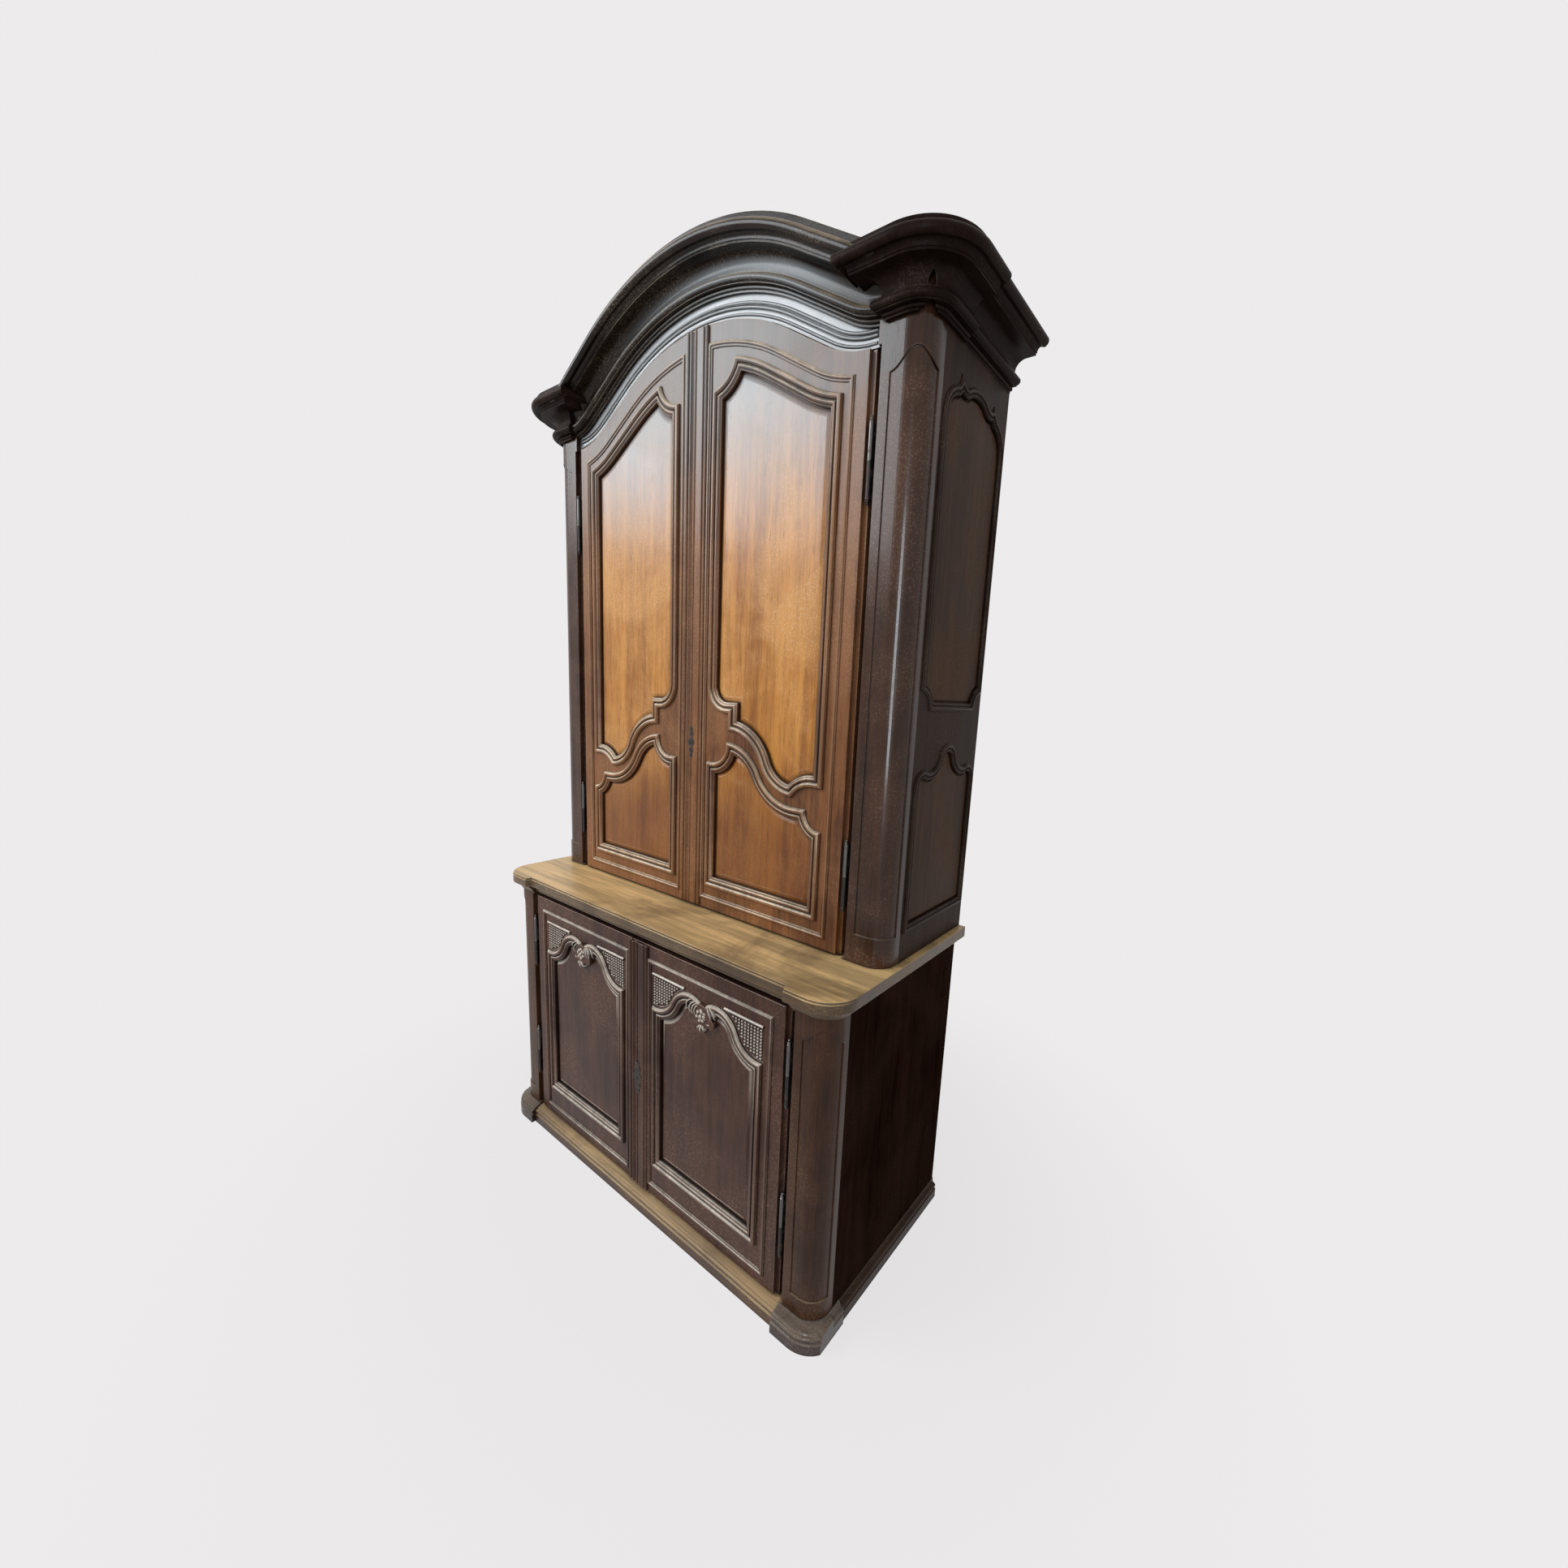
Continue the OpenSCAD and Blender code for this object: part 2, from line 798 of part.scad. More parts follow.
module upper_side_frame(side) {
  mirror([side, 0, 0]) {
    side_board(upper_x, side_t)
      difference() {
        translate([side_front - side_mid, top_z])
          square([back_y - side_front, upper_side_z1 - top_z]);
        polygon(tall_outline(side_mould_w));
        polygon(low_outline(side_mould_w));
      }
    for (ring = side_rings)
      side_board(upper_x + ring[2], ring[2]) {
        difference() {
          polygon(tall_outline(ring[0]));
          polygon(tall_outline(ring[1]));
        }
        difference() {
          polygon(low_outline(ring[0]));
          polygon(low_outline(ring[1]));
        }
      }
  }
}

module upper_side_frame_left() {
  color("saddlebrown")
    upper_side_frame(1);
}

module upper_side_frame_right() {
  color("saddlebrown")
    upper_side_frame(0);
}

// How far the side panels lie behind the frame, and their raised field
side_lip = 6;
side_field = 3;
side_field_in = 6;

module upper_side_panels(side) {
  mirror([side, 0, 0]) {
    side_board(upper_x - side_lip, panel_t) {
      polygon(tall_outline(side_mould_w));
      polygon(low_outline(side_mould_w));
    }
    side_board(upper_x - side_lip + side_field, side_field) {
      polygon(tall_outline(side_mould_w + side_field_in));
      polygon(low_outline(side_mould_w + side_field_in));
    }
  }
}

module upper_side_panels_left() {
  color("sienna")
    upper_side_panels(1);
}

module upper_side_panels_right() {
  color("sienna")
    upper_side_panels(0);
}

upper_floor_z = top_z;

module upper_bottom_boards() {
  color("peru")
    shelf_boards(upper_in, upper_inner_y0, inner_y1, upper_floor_z, upper_in, floor_tongue);
}

upper_shelf_z = [1400, 1870];

module upper_shelves() {
  color("peru")
    for (z = upper_shelf_z)
      shelf_boards(upper_in, upper_inner_y0, inner_y1, z, upper_in, 0);
}

roof_rise = 32;
roof_t = 15;

module upper_back_boards() {
  color("burlywood")
    intersection() {
      back_boards(upper_in - rear_post_w, top_z, crest_z + roof_rise);
      board(back_y - back_t - CUT, back_t + 2 * CUT)
        polygon(concat([[-upper_x, top_z], [upper_x, top_z]],
                       reverse(arch_full(roof_rise, upper_x))));
    }
}

module upper_top_boards() {
  color("burlywood")
    difference() {
      board(upper_board_face + arch_board_t, back_y - upper_board_face - arch_board_t)
        polygon(concat(arch_full(roof_rise, upper_in),
                       reverse(arch_full(roof_rise + roof_t, upper_in))));
      for (side = [0, 1])
        mirror([side, 0, 0]) {
          translate([upper_in - rear_post_w, back_y - rear_post_w, top_z])
            cube([rear_post_w, rear_post_w + CUT, crest_z - top_z]);
          translate([post_x, upper_board_face, top_z])
            cube([upper_x, post_d + upper_post_face - upper_board_face, crest_z - top_z]);
        }
    }
}

// Board over the doors: its lower edge follows them, its top hides behind the cornice
groove_rise = [23, 31];
groove_w = 4;
groove_depth = 2;
arch_board_drop = 32;
module arch_board() {
  top_d = arch_to_cornice + cornice_h - arch_board_drop;
  color("saddlebrown")
    difference() {
      board(upper_board_face, arch_board_t)
        polygon(concat(arch_full(board_gap, post_x), reverse(arch_full(top_d, post_x))));
      for (d = groove_rise)
        board(upper_board_face - CUT, groove_depth + CUT)
          polygon(concat(arch_full(d, post_x + CUT), reverse(arch_full(d + groove_w, post_x + CUT))));
    }
}

// Room taken by a corner post, which the mouldings are fitted round
module post_room() {
  translate([post_x, upper_post_face, top_z])
    cube([post_w + upper_over, post_d, crest_z]);
}

// Part of the corner cornice that returns to the arched board, mitred at the inner edge
module cornice_return() {
  depth = upper_board_face - upper_post_face;
  translate([0, 0, cornice_z])
    intersection() {
      front_run(jog_x - CROWN_REACH - CUT, jog_x, upper_post_face)
        cornice_profile(depth);
      translate([jog_x, upper_post_face - CROWN_REACH - CUT, 0])
        rotate([90, 0, 180])
          linear_extrude(depth + CROWN_REACH + CUT)
            cornice_profile(0);
    }
}

// Where the corner block ends on the side, and how far the run behind it is set back
block_end = 52;
run_back = 7;

module cornice_corner() {
  difference() {
    union() {
      translate([0, 0, cornice_z])
        corner_run(post_c(upper_x, upper_post_face), post_r, jog_x, block_end)
          cornice_profile(0);
      cornice_return();
    }
    post_room();
  }
  translate([upper_x, back_y, cornice_z])
    rotate([90, 0, 0])
      linear_extrude(back_y - block_end)
        intersection() {
          translate([-run_back, 0])
            cornice_profile(0);
          square([CROWN_REACH, cornice_h]);
        }
}

module cornice_left() {
  color("sienna")
    mirror([1, 0, 0])
      cornice_corner();
}

module cornice_right() {
  color("sienna")
    cornice_corner();
}

module cornice_front() {
  color("sienna")
    difference() {
      arch_run(arch_to_cornice, upper_board_face, cornice_half, jog_x)
        cornice_rise();
      for (side = [0, 1])
        mirror([side, 0, 0]) {
          cornice_return();
          post_room();
        }
    }
}

cleat_w = 18;

module shelf_cleats() {
  color("burlywood") {
    for (side = [0, 1])
      mirror([side, 0, 0]) {
        for (z = upper_shelf_z)
          translate([upper_in - cleat_w, upper_inner_y0, z - cleat_w])
            cube([cleat_w, back_y - rear_post_w - upper_inner_y0, cleat_w]);
        translate([lower_in - cleat_w, inner_y0, lower_shelf_z - cleat_w])
          cube([cleat_w, back_y - rear_post_w - inner_y0, cleat_w]);
        translate([lower_in - cleat_w, inner_y0, lower_floor_z - cleat_w])
          cube([cleat_w, back_y - rear_post_w - inner_y0, cleat_w]);
      }
  }
}

/* Doors: drawn for the right-hand door, in x and z */

// Distance of the hinge axis from the middle, halfway between door and post
axis_x = (door_half + post_x) / 2;
axis_out = 2;
left_edge = strip_left + seam_gap;

// Points of an arc about c between two points that lie on it; turn is 1 or -1
function arc_between(c, p, q, turn) =
  let (
    a = atan2(p[1] - c[1], p[0] - c[0]),
    b = atan2(q[1] - c[1], q[0] - c[0]),
    sweep = turn > 0 ? (b > a ? b - a : b - a + 360) : (b < a ? b - a : b - a - 360)
  )
  arc(c, norm(p - c), a, a + sweep);

// Where two circles meet, on the right of the line from c0 to c1 if side is 1
function meet(c0, r0, c1, r1, side) =
  let (
    d = norm(c1 - c0),
    u = (c1 - c0) / d,
    k = (r0 * r0 - r1 * r1 + d * d) / (2 * d),
    h = sqrt(r0 * r0 - k * k)
  )
  c0 + u * k + side * h * [u[1], -u[0]];

// Radius of the two equal arcs of an ogee that is w wide and h high, level at its ends
function ogee_r(w, h) = (w * w + h * h) / (4 * h);

rail_z = 1390;
top_drop = 82;

// Upper panel: arched top with a hollow inner corner, stepped inner foot and ogee foot
ear_r = 80;
ear_c = [panel_in, arch_c1[1] + sqrt(pow(arch_r - top_drop, 2) - pow(panel_in, 2))];
toe_r = 74;
toe_c = [panel_in + toe_r, rail_z + 200];
step_x = panel_in + toe_r + 10;
foot_a = [step_x + 6, rail_z + 78];
foot_b = [panel_out - 96, rail_z - 77];
foot_or = ogee_r(foot_b[0] - foot_a[0], foot_a[1] - foot_b[1]);
heel_r = 74;
heel_c = [panel_out - 34, rail_z - 117];

// Its outline, moved inwards by d
function upper_outline(d) =
  let (
    a = foot_a - [0, foot_or],
    b = foot_b + [0, foot_or],
    mid = a + (foot_or + d) / (2 * foot_or) * (b - a),
    step = [step_x + d, a[1] + sqrt(pow(foot_or + d, 2) - pow(step_x + d - a[0], 2))],
    cusp = meet(b, foot_or - d, heel_c, heel_r + d, 1),
    heel_x = min(heel_c[0], panel_out - d),
    heel = [heel_x, heel_c[1] + sqrt(pow(heel_r + d, 2) - pow(heel_x - heel_c[0], 2))],
    top = meet(arch_c1, arch_r - top_drop - d, ear_c, ear_r + d, 1),
    ear = ear_c + [d, -sqrt(pow(ear_r + d, 2) - d * d)]
  )
  distinct(concat(
    arc_between(a, step, mid, -1),
    arc_between(b, mid, cusp, 1),
    arc_between(heel_c, cusp, heel, -1),
    [[panel_out - d, heel[1]]],
    reverse(arch_half(-top_drop - d, top[0], panel_out - d)),
    arc_between(ear_c, top, ear, -1),
    arc_between(toe_c, toe_c - [toe_r - d, 0], toe_c - [0, toe_r - d], 1),
    [[step_x + d, toe_c[1] - toe_r + d]]
  ));

// Lower panel: ogee head between a rounded shoulder and a hollow corner
foot_z = 1000;
head_a = [step_x - 4, rail_z + 46];
head_b = [panel_out - 90, rail_z - 103];
head_or = ogee_r(head_b[0] - head_a[0], head_a[1] - head_b[1]);
shoulder_r = 56;
shoulder_c = head_a - [shoulder_r, 6];
bite_r = 50;
bite_c = [panel_out, head_b[1] - 2];

// Its outline, moved inwards by d
function lower_outline(d) =
  let (
    a = head_a - [0, head_or],
    b = head_b + [0, head_or],
    mid = a + (head_or - d) / (2 * head_or) * (b - a),
    cusp = meet(a, head_or - d, shoulder_c, shoulder_r + d, 1),
    low_x = max(shoulder_c[0], panel_in + d),
    low = [low_x, shoulder_c[1] - sqrt(pow(shoulder_r + d, 2) - pow(low_x - shoulder_c[0], 2))],
    bite_top = bite_c + [-sqrt(pow(bite_r + d, 2) - pow(2 - d, 2)), 2 - d],
    bite_side = bite_c + [-d, -sqrt(pow(bite_r + d, 2) - d * d)]
  )
  distinct(concat(
    [[panel_in + d, foot_z + d], [panel_out - d, foot_z + d]],
    arc_between(bite_c, bite_side, bite_top, -1),
    arc_between(b, head_b - [0, d], mid, -1),
    arc_between(a, mid, cusp, 1),
    arc_between(shoulder_c, cusp, low, -1),
    [[panel_in + d, low[1]]]
  ));

module door_plate(x0, x1, z0, z1) {
  translate([x0, z0])
    square([x1 - x0, z1 - z0]);
}

// Moulding round a door panel: outer and inner edges of its steps with their heights
mould_rings = [[0, mould_w, 3], [1.5, 13, 6], [4, 10.5, 9], [18, 24, 6]];
mould_proud = 9;

// One step of a moulding, between an outer and an inner outline
module step(outer, inner, h, face) {
  board(face - h, h)
    difference() {
      polygon(outer);
      polygon(inner);
    }
}

// Bead of two steps that frames a door, inside the outline
bead_proud = 5;
bead_top = [3, 8];
module frame_bead(outline, face) {
  step(outline, inset(outline, bead_w), bead_proud / 2, face);
  step(inset(outline, bead_top[0]), inset(outline, bead_top[1]), bead_proud, face);
}

// Height of the frames' bead over the foot of a door
bead_foot = 28;

// Upper door frame, from the meeting edge x0 to the hinge edge
module upper_frame(x0, bead_x0) {
  ring = concat(
    [[bead_x0, upper_door_z0 + bead_foot], [door_half - bead_in, upper_door_z0 + bead_foot]],
    reverse(arch_half(-bead_in, bead_x0, door_half - bead_in))
  );
  board(upper_face, door_t)
    difference() {
      intersection() {
        polygon(concat([[-post_x, upper_door_z0], [post_x, upper_door_z0]],
                       reverse(arch_full(0, post_x))));
        door_plate(x0, door_half, upper_door_z0, crest_z + CUT);
      }
      polygon(upper_outline(mould_w - CUT));
      polygon(lower_outline(mould_w - CUT));
    }
  for (m = mould_rings) {
    step(upper_outline(m[0]), upper_outline(m[1]), m[2], upper_face);
    step(lower_outline(m[0]), lower_outline(m[1]), m[2], upper_face);
  }
  frame_bead(ring, upper_face);
}

panel_y = 9;

// Panel set in its frame from behind, with a raised field at the front
module panel(edge, field, face) {
  board(face + panel_y, panel_t)
    polygon(edge);
  board(face + panel_y - field_t, field_t)
    polygon(field);
}

module upper_left_door_frame() {
  color("chocolate")
    difference() {
      union() {
        mirror([1, 0, 0])
          upper_frame(left_edge, strip_right);
        edge_bead(upper_face, upper_door_z0 + strip_cut, crest_z - strip_cut);
      }
      keeper_mortise(upper_face, upper_lock_z);
      mirror([1, 0, 0]) {
        rebate(upper_face, door_half - rebate_door, door_half + CUT, top_z, crest_z);
        leaf_slots(upper_face, upper_hinges);
      }
    }
}

module upper_right_door_frame() {
  color("chocolate")
    difference() {
      upper_frame(-strip_left, strip_right);
      rebate(upper_face, door_half - rebate_door, door_half + CUT, top_z, crest_z);
      lock_pocket(upper_face, upper_lock_z);
      leaf_slots(upper_face, upper_hinges);
    }
}

module upper_panels() {
  panel(upper_outline(mould_w - CUT), upper_outline(mould_w + field_margin), upper_face);
  panel(lower_outline(mould_w - CUT), lower_outline(mould_w + field_margin), upper_face);
}

module upper_left_door_panels() {
  color("peru")
    mirror([1, 0, 0])
      upper_panels();
}

module upper_right_door_panels() {
  color("peru")
    upper_panels();
}

// Closing strip of a right-hand door, across its width: a round, a groove, a bead, a broad
// flat, a second groove and the round that meets the panel's moulding
strip_round = 5.5;
strip_groove = 2;
module strip_profile() {
  bead = strip_left - 20;
  polygon(concat(
    [[-strip_left, 0]],
    arc([-strip_left + strip_round, strip_proud - 4], strip_round, 155, 25),
    [[-bead - 5, strip_groove], [-bead - 3, strip_groove]],
    arc([-bead + 2, strip_groove], 4, 180, 20),
    [[-bead + 7, strip_groove + 1], [-bead + 11, strip_proud]],
    [[strip_right - 17, strip_proud], [strip_right - 14, strip_groove]],
    [[strip_right - 12, strip_groove]],
    arc([strip_right - strip_round, strip_proud - 4], strip_round, 155, 25),
    [[strip_right, 0]]
  ));
}

module closing_strip(face, z0, z1) {
  translate([0, face, z0])
    linear_extrude(z1 - z0)
      mirror([0, 1])
        strip_profile();
}

strip_cut = 4;

// Bead along the meeting edge of a left-hand door
edge_bead_w = 16;
edge_bead_r = 6;
module edge_bead(face, z0, z1) {
  flat = edge_bead_w - 4;
  translate([-left_edge, face, z0])
    linear_extrude(z1 - z0)
      mirror([0, 1])
        polygon(concat(
          [[-edge_bead_w, 0], [0, 0]],
          arc([-edge_bead_r - 0.5, 0], edge_bead_r, 20, 90),
          [[-flat, edge_bead_r], [-flat, 2]],
          arc([-edge_bead_w + 2, 0], 2, 90, 180)
        ));
}

module upper_closing_strip() {
  color("chocolate")
    closing_strip(upper_face, upper_door_z0 + strip_cut, crest_z - strip_cut);
}

/* Lower doors */

// Heights of the scrolled panel: its crests under the door's top, its sides under the crests
crest_drop = 83;
scroll_rise = 93;
scroll_top_z = lower_door_z1 - crest_drop;
scroll_side_z = scroll_top_z - scroll_rise;
lower_open_z0 = lower_door_z0 + 104;
scroll_mid = (panel_in + panel_out) / 2;
// Level run beside the hollow, distance from a crest to the middle, and the valley's radius
scroll_flat = 14;
valley_x = 51;
valley_r = 12;
scroll_w = scroll_mid - valley_x - panel_in - scroll_flat;
scroll_r = ogee_r(scroll_w, scroll_top_z - scroll_side_z);
scroll_hollow = [panel_in + scroll_flat, scroll_side_z + scroll_r];
scroll_round = [scroll_mid - valley_x, scroll_top_z - scroll_r];
valley_c = scroll_round + [valley_x, sqrt(pow(scroll_r + valley_r, 2) - valley_x * valley_x)];

// Left half of the scrolled top moved inwards by d: a hollow, a round crest and the valley
function scroll_left(d) =
  let (
    u = (scroll_round - scroll_hollow) / (2 * scroll_r),
    v = (valley_c - scroll_round) / (scroll_r + valley_r),
    x0 = max(scroll_hollow[0], panel_in + d),
    z0 = scroll_hollow[1] - sqrt(pow(scroll_r + d, 2) - pow(x0 - scroll_hollow[0], 2))
  )
  concat(
    [[panel_in + d, z0]],
    arc_between(scroll_hollow, [x0, z0], scroll_hollow + (scroll_r + d) * u, 1),
    arc_between(scroll_round, scroll_round - (scroll_r - d) * u,
                scroll_round + (scroll_r - d) * v, -1),
    arc_between(valley_c, valley_c - (valley_r + d) * v, valley_c - [0, valley_r + d], 1)
  );

// Outline of the lower panel, moved inwards by d
function scroll_outline(d) = distinct(concat(
  [[panel_in + d, lower_open_z0 + d], [panel_out - d, lower_open_z0 + d]],
  [for (p = scroll_left(d)) [2 * scroll_mid - p[0], p[1]]],
  reverse(scroll_left(d))
));

// Sunk corners between the scroll and the straight bead over it
trellis_z1 = scroll_top_z + 3;
trellis_gap = 6;
trellis_sink = 2;
module trellis_fields() {
  board(lower_face - CUT, trellis_sink + CUT)
    difference() {
      translate([panel_in, scroll_side_z + trellis_gap])
        square([panel_out - panel_in, trellis_z1 - scroll_side_z - trellis_gap]);
      polygon(scroll_outline(-trellis_gap));
      translate([scroll_round[0], scroll_side_z])
        square([2 * valley_x, trellis_z1]);
    }
}

// Distance from the top of a lower door down to its bead
bead_head = 40;

module lower_frame(x0, bead_x0) {
  ring = [
    [bead_x0, lower_door_z0 + bead_foot], [door_half - bead_in, lower_door_z0 + bead_foot],
    [door_half - bead_in, lower_door_z1 - bead_head], [bead_x0, lower_door_z1 - bead_head]
  ];
  board(lower_face, door_t)
    difference() {
      door_plate(x0, door_half, lower_door_z0, lower_door_z1);
      polygon(scroll_outline(mould_w - CUT));
    }
  difference() {
    for (m = mould_rings)
      step(scroll_outline(m[0]), scroll_outline(m[1]), m[2], lower_face);
    board(lower_face - mould_proud - CUT, mould_proud + CUT)
      carving_plan();
  }
  frame_bead(ring, lower_face);
}

module lower_left_door_frame() {
  color("sienna")
    difference() {
      union() {
        mirror([1, 0, 0])
          lower_frame(left_edge, strip_right);
        edge_bead(lower_face, lower_door_z0 + strip_cut, lower_door_z1 - strip_cut);
      }
      keeper_mortise(lower_face, lower_lock_z);
      mirror([1, 0, 0]) {
        trellis_fields();
        rebate(lower_face, door_half - rebate_door, door_half + CUT, 0, cove_z);
        leaf_slots(lower_face, lower_hinges);
      }
    }
}

module lower_right_door_frame() {
  color("sienna")
    difference() {
      lower_frame(-strip_left, strip_right);
      trellis_fields();
      rebate(lower_face, door_half - rebate_door, door_half + CUT, 0, cove_z);
      lock_pocket(lower_face, lower_lock_z);
      leaf_slots(lower_face, lower_hinges);
    }
}

module lower_panel() {
  panel(scroll_outline(mould_w - CUT), scroll_outline(mould_w + field_margin), lower_face);
}

module lower_left_door_panel() {
  color("sienna")
    mirror([1, 0, 0])
      lower_panel();
}

module lower_right_door_panel() {
  color("sienna")
    lower_panel();
}

module lower_closing_strip() {
  color("sienna")
    closing_strip(lower_face, lower_door_z0 + strip_cut, lower_door_z1 - strip_cut);
}

// Outline of the carving between the two scrolls
carving_drop = 42;
carving_z = scroll_top_z - carving_drop;
carving_t = 12;
carving_r = 32;
leaf_x = 34;
leaf_r = 14;
drop_h = 12;
module carving_plan() {
  translate([scroll_mid, carving_z]) {
    circle(r = carving_r);
    for (side = [-1, 1])
      translate([side * leaf_x, -drop_h])
        circle(r = leaf_r);
    translate([-leaf_r, -carving_r - drop_h])
      square([2 * leaf_r, carving_r]);
  }
}

// Carving between the two scrolls: a ring of berries in a shell with a leaf at each side
berry_ring = 13;
berry_r = 6.5;
berry_h = 3;
module berry(x, z) {
  translate([x, lower_face - carving_t, z])
    rotate([90, 0, 0])
      cylinder(h = berry_h, r1 = berry_r, r2 = berry_r - 2.5, $fn = 24);
}

module carving() {
  for (turn = [0:60:300])
    berry(scroll_mid + berry_ring * sin(turn), carving_z + berry_ring * cos(turn));
  berry(scroll_mid, carving_z);
  board(lower_face - carving_t, carving_t)
    carving_plan();
}

module lower_left_door_carving() {
  color("sienna")
    mirror([1, 0, 0])
      carving();
}

module lower_right_door_carving() {
  color("sienna")
    carving();
}

/* Ironwork */

upper_lock_z = 1425;
lower_lock_z = 432;
lock_w = 56;
lock_h = 84;
lock_x = 0;
bolt_t = 6;
bolt_h = 14;
slide_clear = 0.3;
mid_t = door_t / 2;

// Pocket for the lock, open at the back of the door, with the bolt's way to the edge
module lock_pocket(face, z) {
  translate([lock_x, face + mid_t - 6, z - lock_h / 2])
    cube([lock_w, mid_t + 6 + CUT, lock_h]);
  translate([-strip_left - CUT, face + mid_t - bolt_t / 2 - slide_clear, z - bolt_h / 2 - slide_clear])
    cube([strip_left + 2 * CUT, bolt_t + 2 * slide_clear, bolt_h + 2 * slide_clear]);
}

module keeper_mortise(face, z) {
  translate([-left_edge - throw - 2, face + mid_t - bolt_t / 2 - slide_clear, z - bolt_h / 2 - slide_clear])
    cube([throw + 2 + CUT, bolt_t + 2 * slide_clear, bolt_h + 2 * slide_clear]);
}

module lock_case(face, z) {
  difference() {
    union() {
      translate([lock_x, face + mid_t - 6, z - lock_h / 2])
        cube([lock_w, mid_t + 6, lock_h]);
      translate([lock_x - 6, face + door_t, z - lock_h / 2 - 6])
        cube([lock_w + 12, 2, lock_h + 12]);
    }
    translate([lock_x - CUT, face + mid_t - bolt_t / 2 - slide_clear, z - bolt_h / 2 - slide_clear])
      cube([lock_w - 4, bolt_t + 2 * slide_clear, bolt_h + 2 * slide_clear]);
  }
}

// Tip of the withdrawn bolt, just inside the edge of the right-hand door
bolt_tip = -strip_left + 1;

module lock_bolt(face, z) {
  translate([bolt_tip, face + mid_t - bolt_t / 2, z - bolt_h / 2])
    cube([lock_w - 8, bolt_t, bolt_h]);
}

module upper_lock_case() {
  color("dimgray")
    lock_case(upper_face, upper_lock_z);
}

module lower_lock_case() {
  color("dimgray")
    lock_case(lower_face, lower_lock_z);
}

module upper_lock_bolt() {
  color("silver")
    lock_bolt(upper_face, upper_lock_z);
}

module lower_lock_bolt() {
  color("silver")
    lock_bolt(lower_face, lower_lock_z);
}

// Pierced plate with a keyhole, on the closing strip
plate_t = 1.5;
plate_x = 3;
module keyhole_plate(face, z, w, h) {
  board(face - strip_proud - plate_t, plate_t)
    translate([plate_x, z])
      difference() {
        union() {
          circle(r = w / 2);
          for (s = [-1, 1]) {
            translate([0, s * h * 0.25])
              circle(r = w * 0.36);
            translate([0, s * h * 0.42])
              circle(r = w * 0.24);
            translate([-w * 0.14, s > 0 ? 0 : -h * 0.5])
              square([w * 0.28, h * 0.5]);
          }
        }
        circle(r = 3);
        translate([-1.6, -9])
          square([3.2, 9]);
      }
}

module upper_keyhole_plate() {
  color("dimgray")
    keyhole_plate(upper_face, upper_lock_z, 24, 92);
}

module lower_keyhole_plate() {
  color("dimgray")
    keyhole_plate(lower_face, lower_lock_z, 34, 100);
}

// Sliding bolts inside the left-hand doors
slide_x = -(left_edge + 20);
slide_w = 16;
slide_t = 5;
slide_l = 150;
staple_t = 4;

// Hole that a sliding bolt shoots into, from z upwards by h
module bolt_hole(face, z, h) {
  translate([slide_x - slide_w / 2 - 1, face + door_t, z])
    cube([slide_w + 2, slide_t + 2, h]);
}

module slide_bolt(face, z0) {
  translate([slide_x - slide_w / 2, face + door_t + slide_clear, z0])
    cube([slide_w, slide_t, slide_l]);
  translate([slide_x, face + door_t + slide_t, z0 + slide_l / 2])
    rotate([-90, 0, 0])
      cylinder(h = 14, r = 4);
}

module staple(face, z) {
  difference() {
    translate([slide_x - slide_w / 2 - staple_t, face + door_t, z])
      cube([slide_w + 2 * staple_t, slide_t + 2 * slide_clear + 3, 16]);
    translate([slide_x - slide_w / 2 - slide_clear, face + door_t - CUT, z - CUT])
      cube([slide_w + 2 * slide_clear, slide_t + 2 * slide_clear + CUT, 16 + 2 * CUT]);
  }
}

upper_slide_z = top_z + upper_door_gap - 1;
lower_slide_z = lower_door_z1 - slide_l;

module upper_door_bolt() {
  color("dimgray")
    slide_bolt(upper_face, upper_slide_z);
}

module lower_door_bolt() {
  color("dimgray")
    slide_bolt(lower_face, lower_slide_z);
}

module upper_bolt_staples() {
  color("dimgray")
    for (dz = [20, slide_l - 30])
      staple(upper_face, upper_slide_z + dz);
}

module lower_bolt_staples() {
  color("dimgray")
    for (dz = [14, slide_l - 36])
      staple(lower_face, lower_slide_z + dz);
}

// Hinges: heights of the middle of each barrel
upper_hinges = [1140, 2095];
lower_hinges = [280, 693];
leaf_w = 34;
leaf_in = rebate_d;
leaf_h = barrel_l / 2 - 4;
barrel_gap = 0.5;
leaf_up = barrel_gap + 2;
finial_h = 14;

// Where a leaf lies behind the face: z0 is its lower end
module leaf_slot(face, x0, x1, z0) {
  translate([x0, face + leaf_in, z0])
    cube([x1 - x0, leaf_t, leaf_h]);
}

module leaf_slots(face, heights) {
  for (z = heights)
    leaf_slot(face, door_half - leaf_w, door_half + CUT, z + leaf_up);
}

module hinge_slots(face, heights) {
  for (z = heights)
    leaf_slot(face, post_x - CUT, post_x + leaf_w, z - 2 - leaf_h);
}

// Turned end of a barrel, standing on z = 0
module finial() {
  rotate_extrude()
    polygon(concat(
      [[0, 0], [barrel_r, 0], [barrel_r - 1.6, 1.5]],
      arc([barrel_r - 3.2, 4.4], 2.9, -60, 60),
      [[2, 7.4]],
      arc([0.6, 9.8], 2.4, -50, 60),
      [[0, finial_h]]
    ));
}

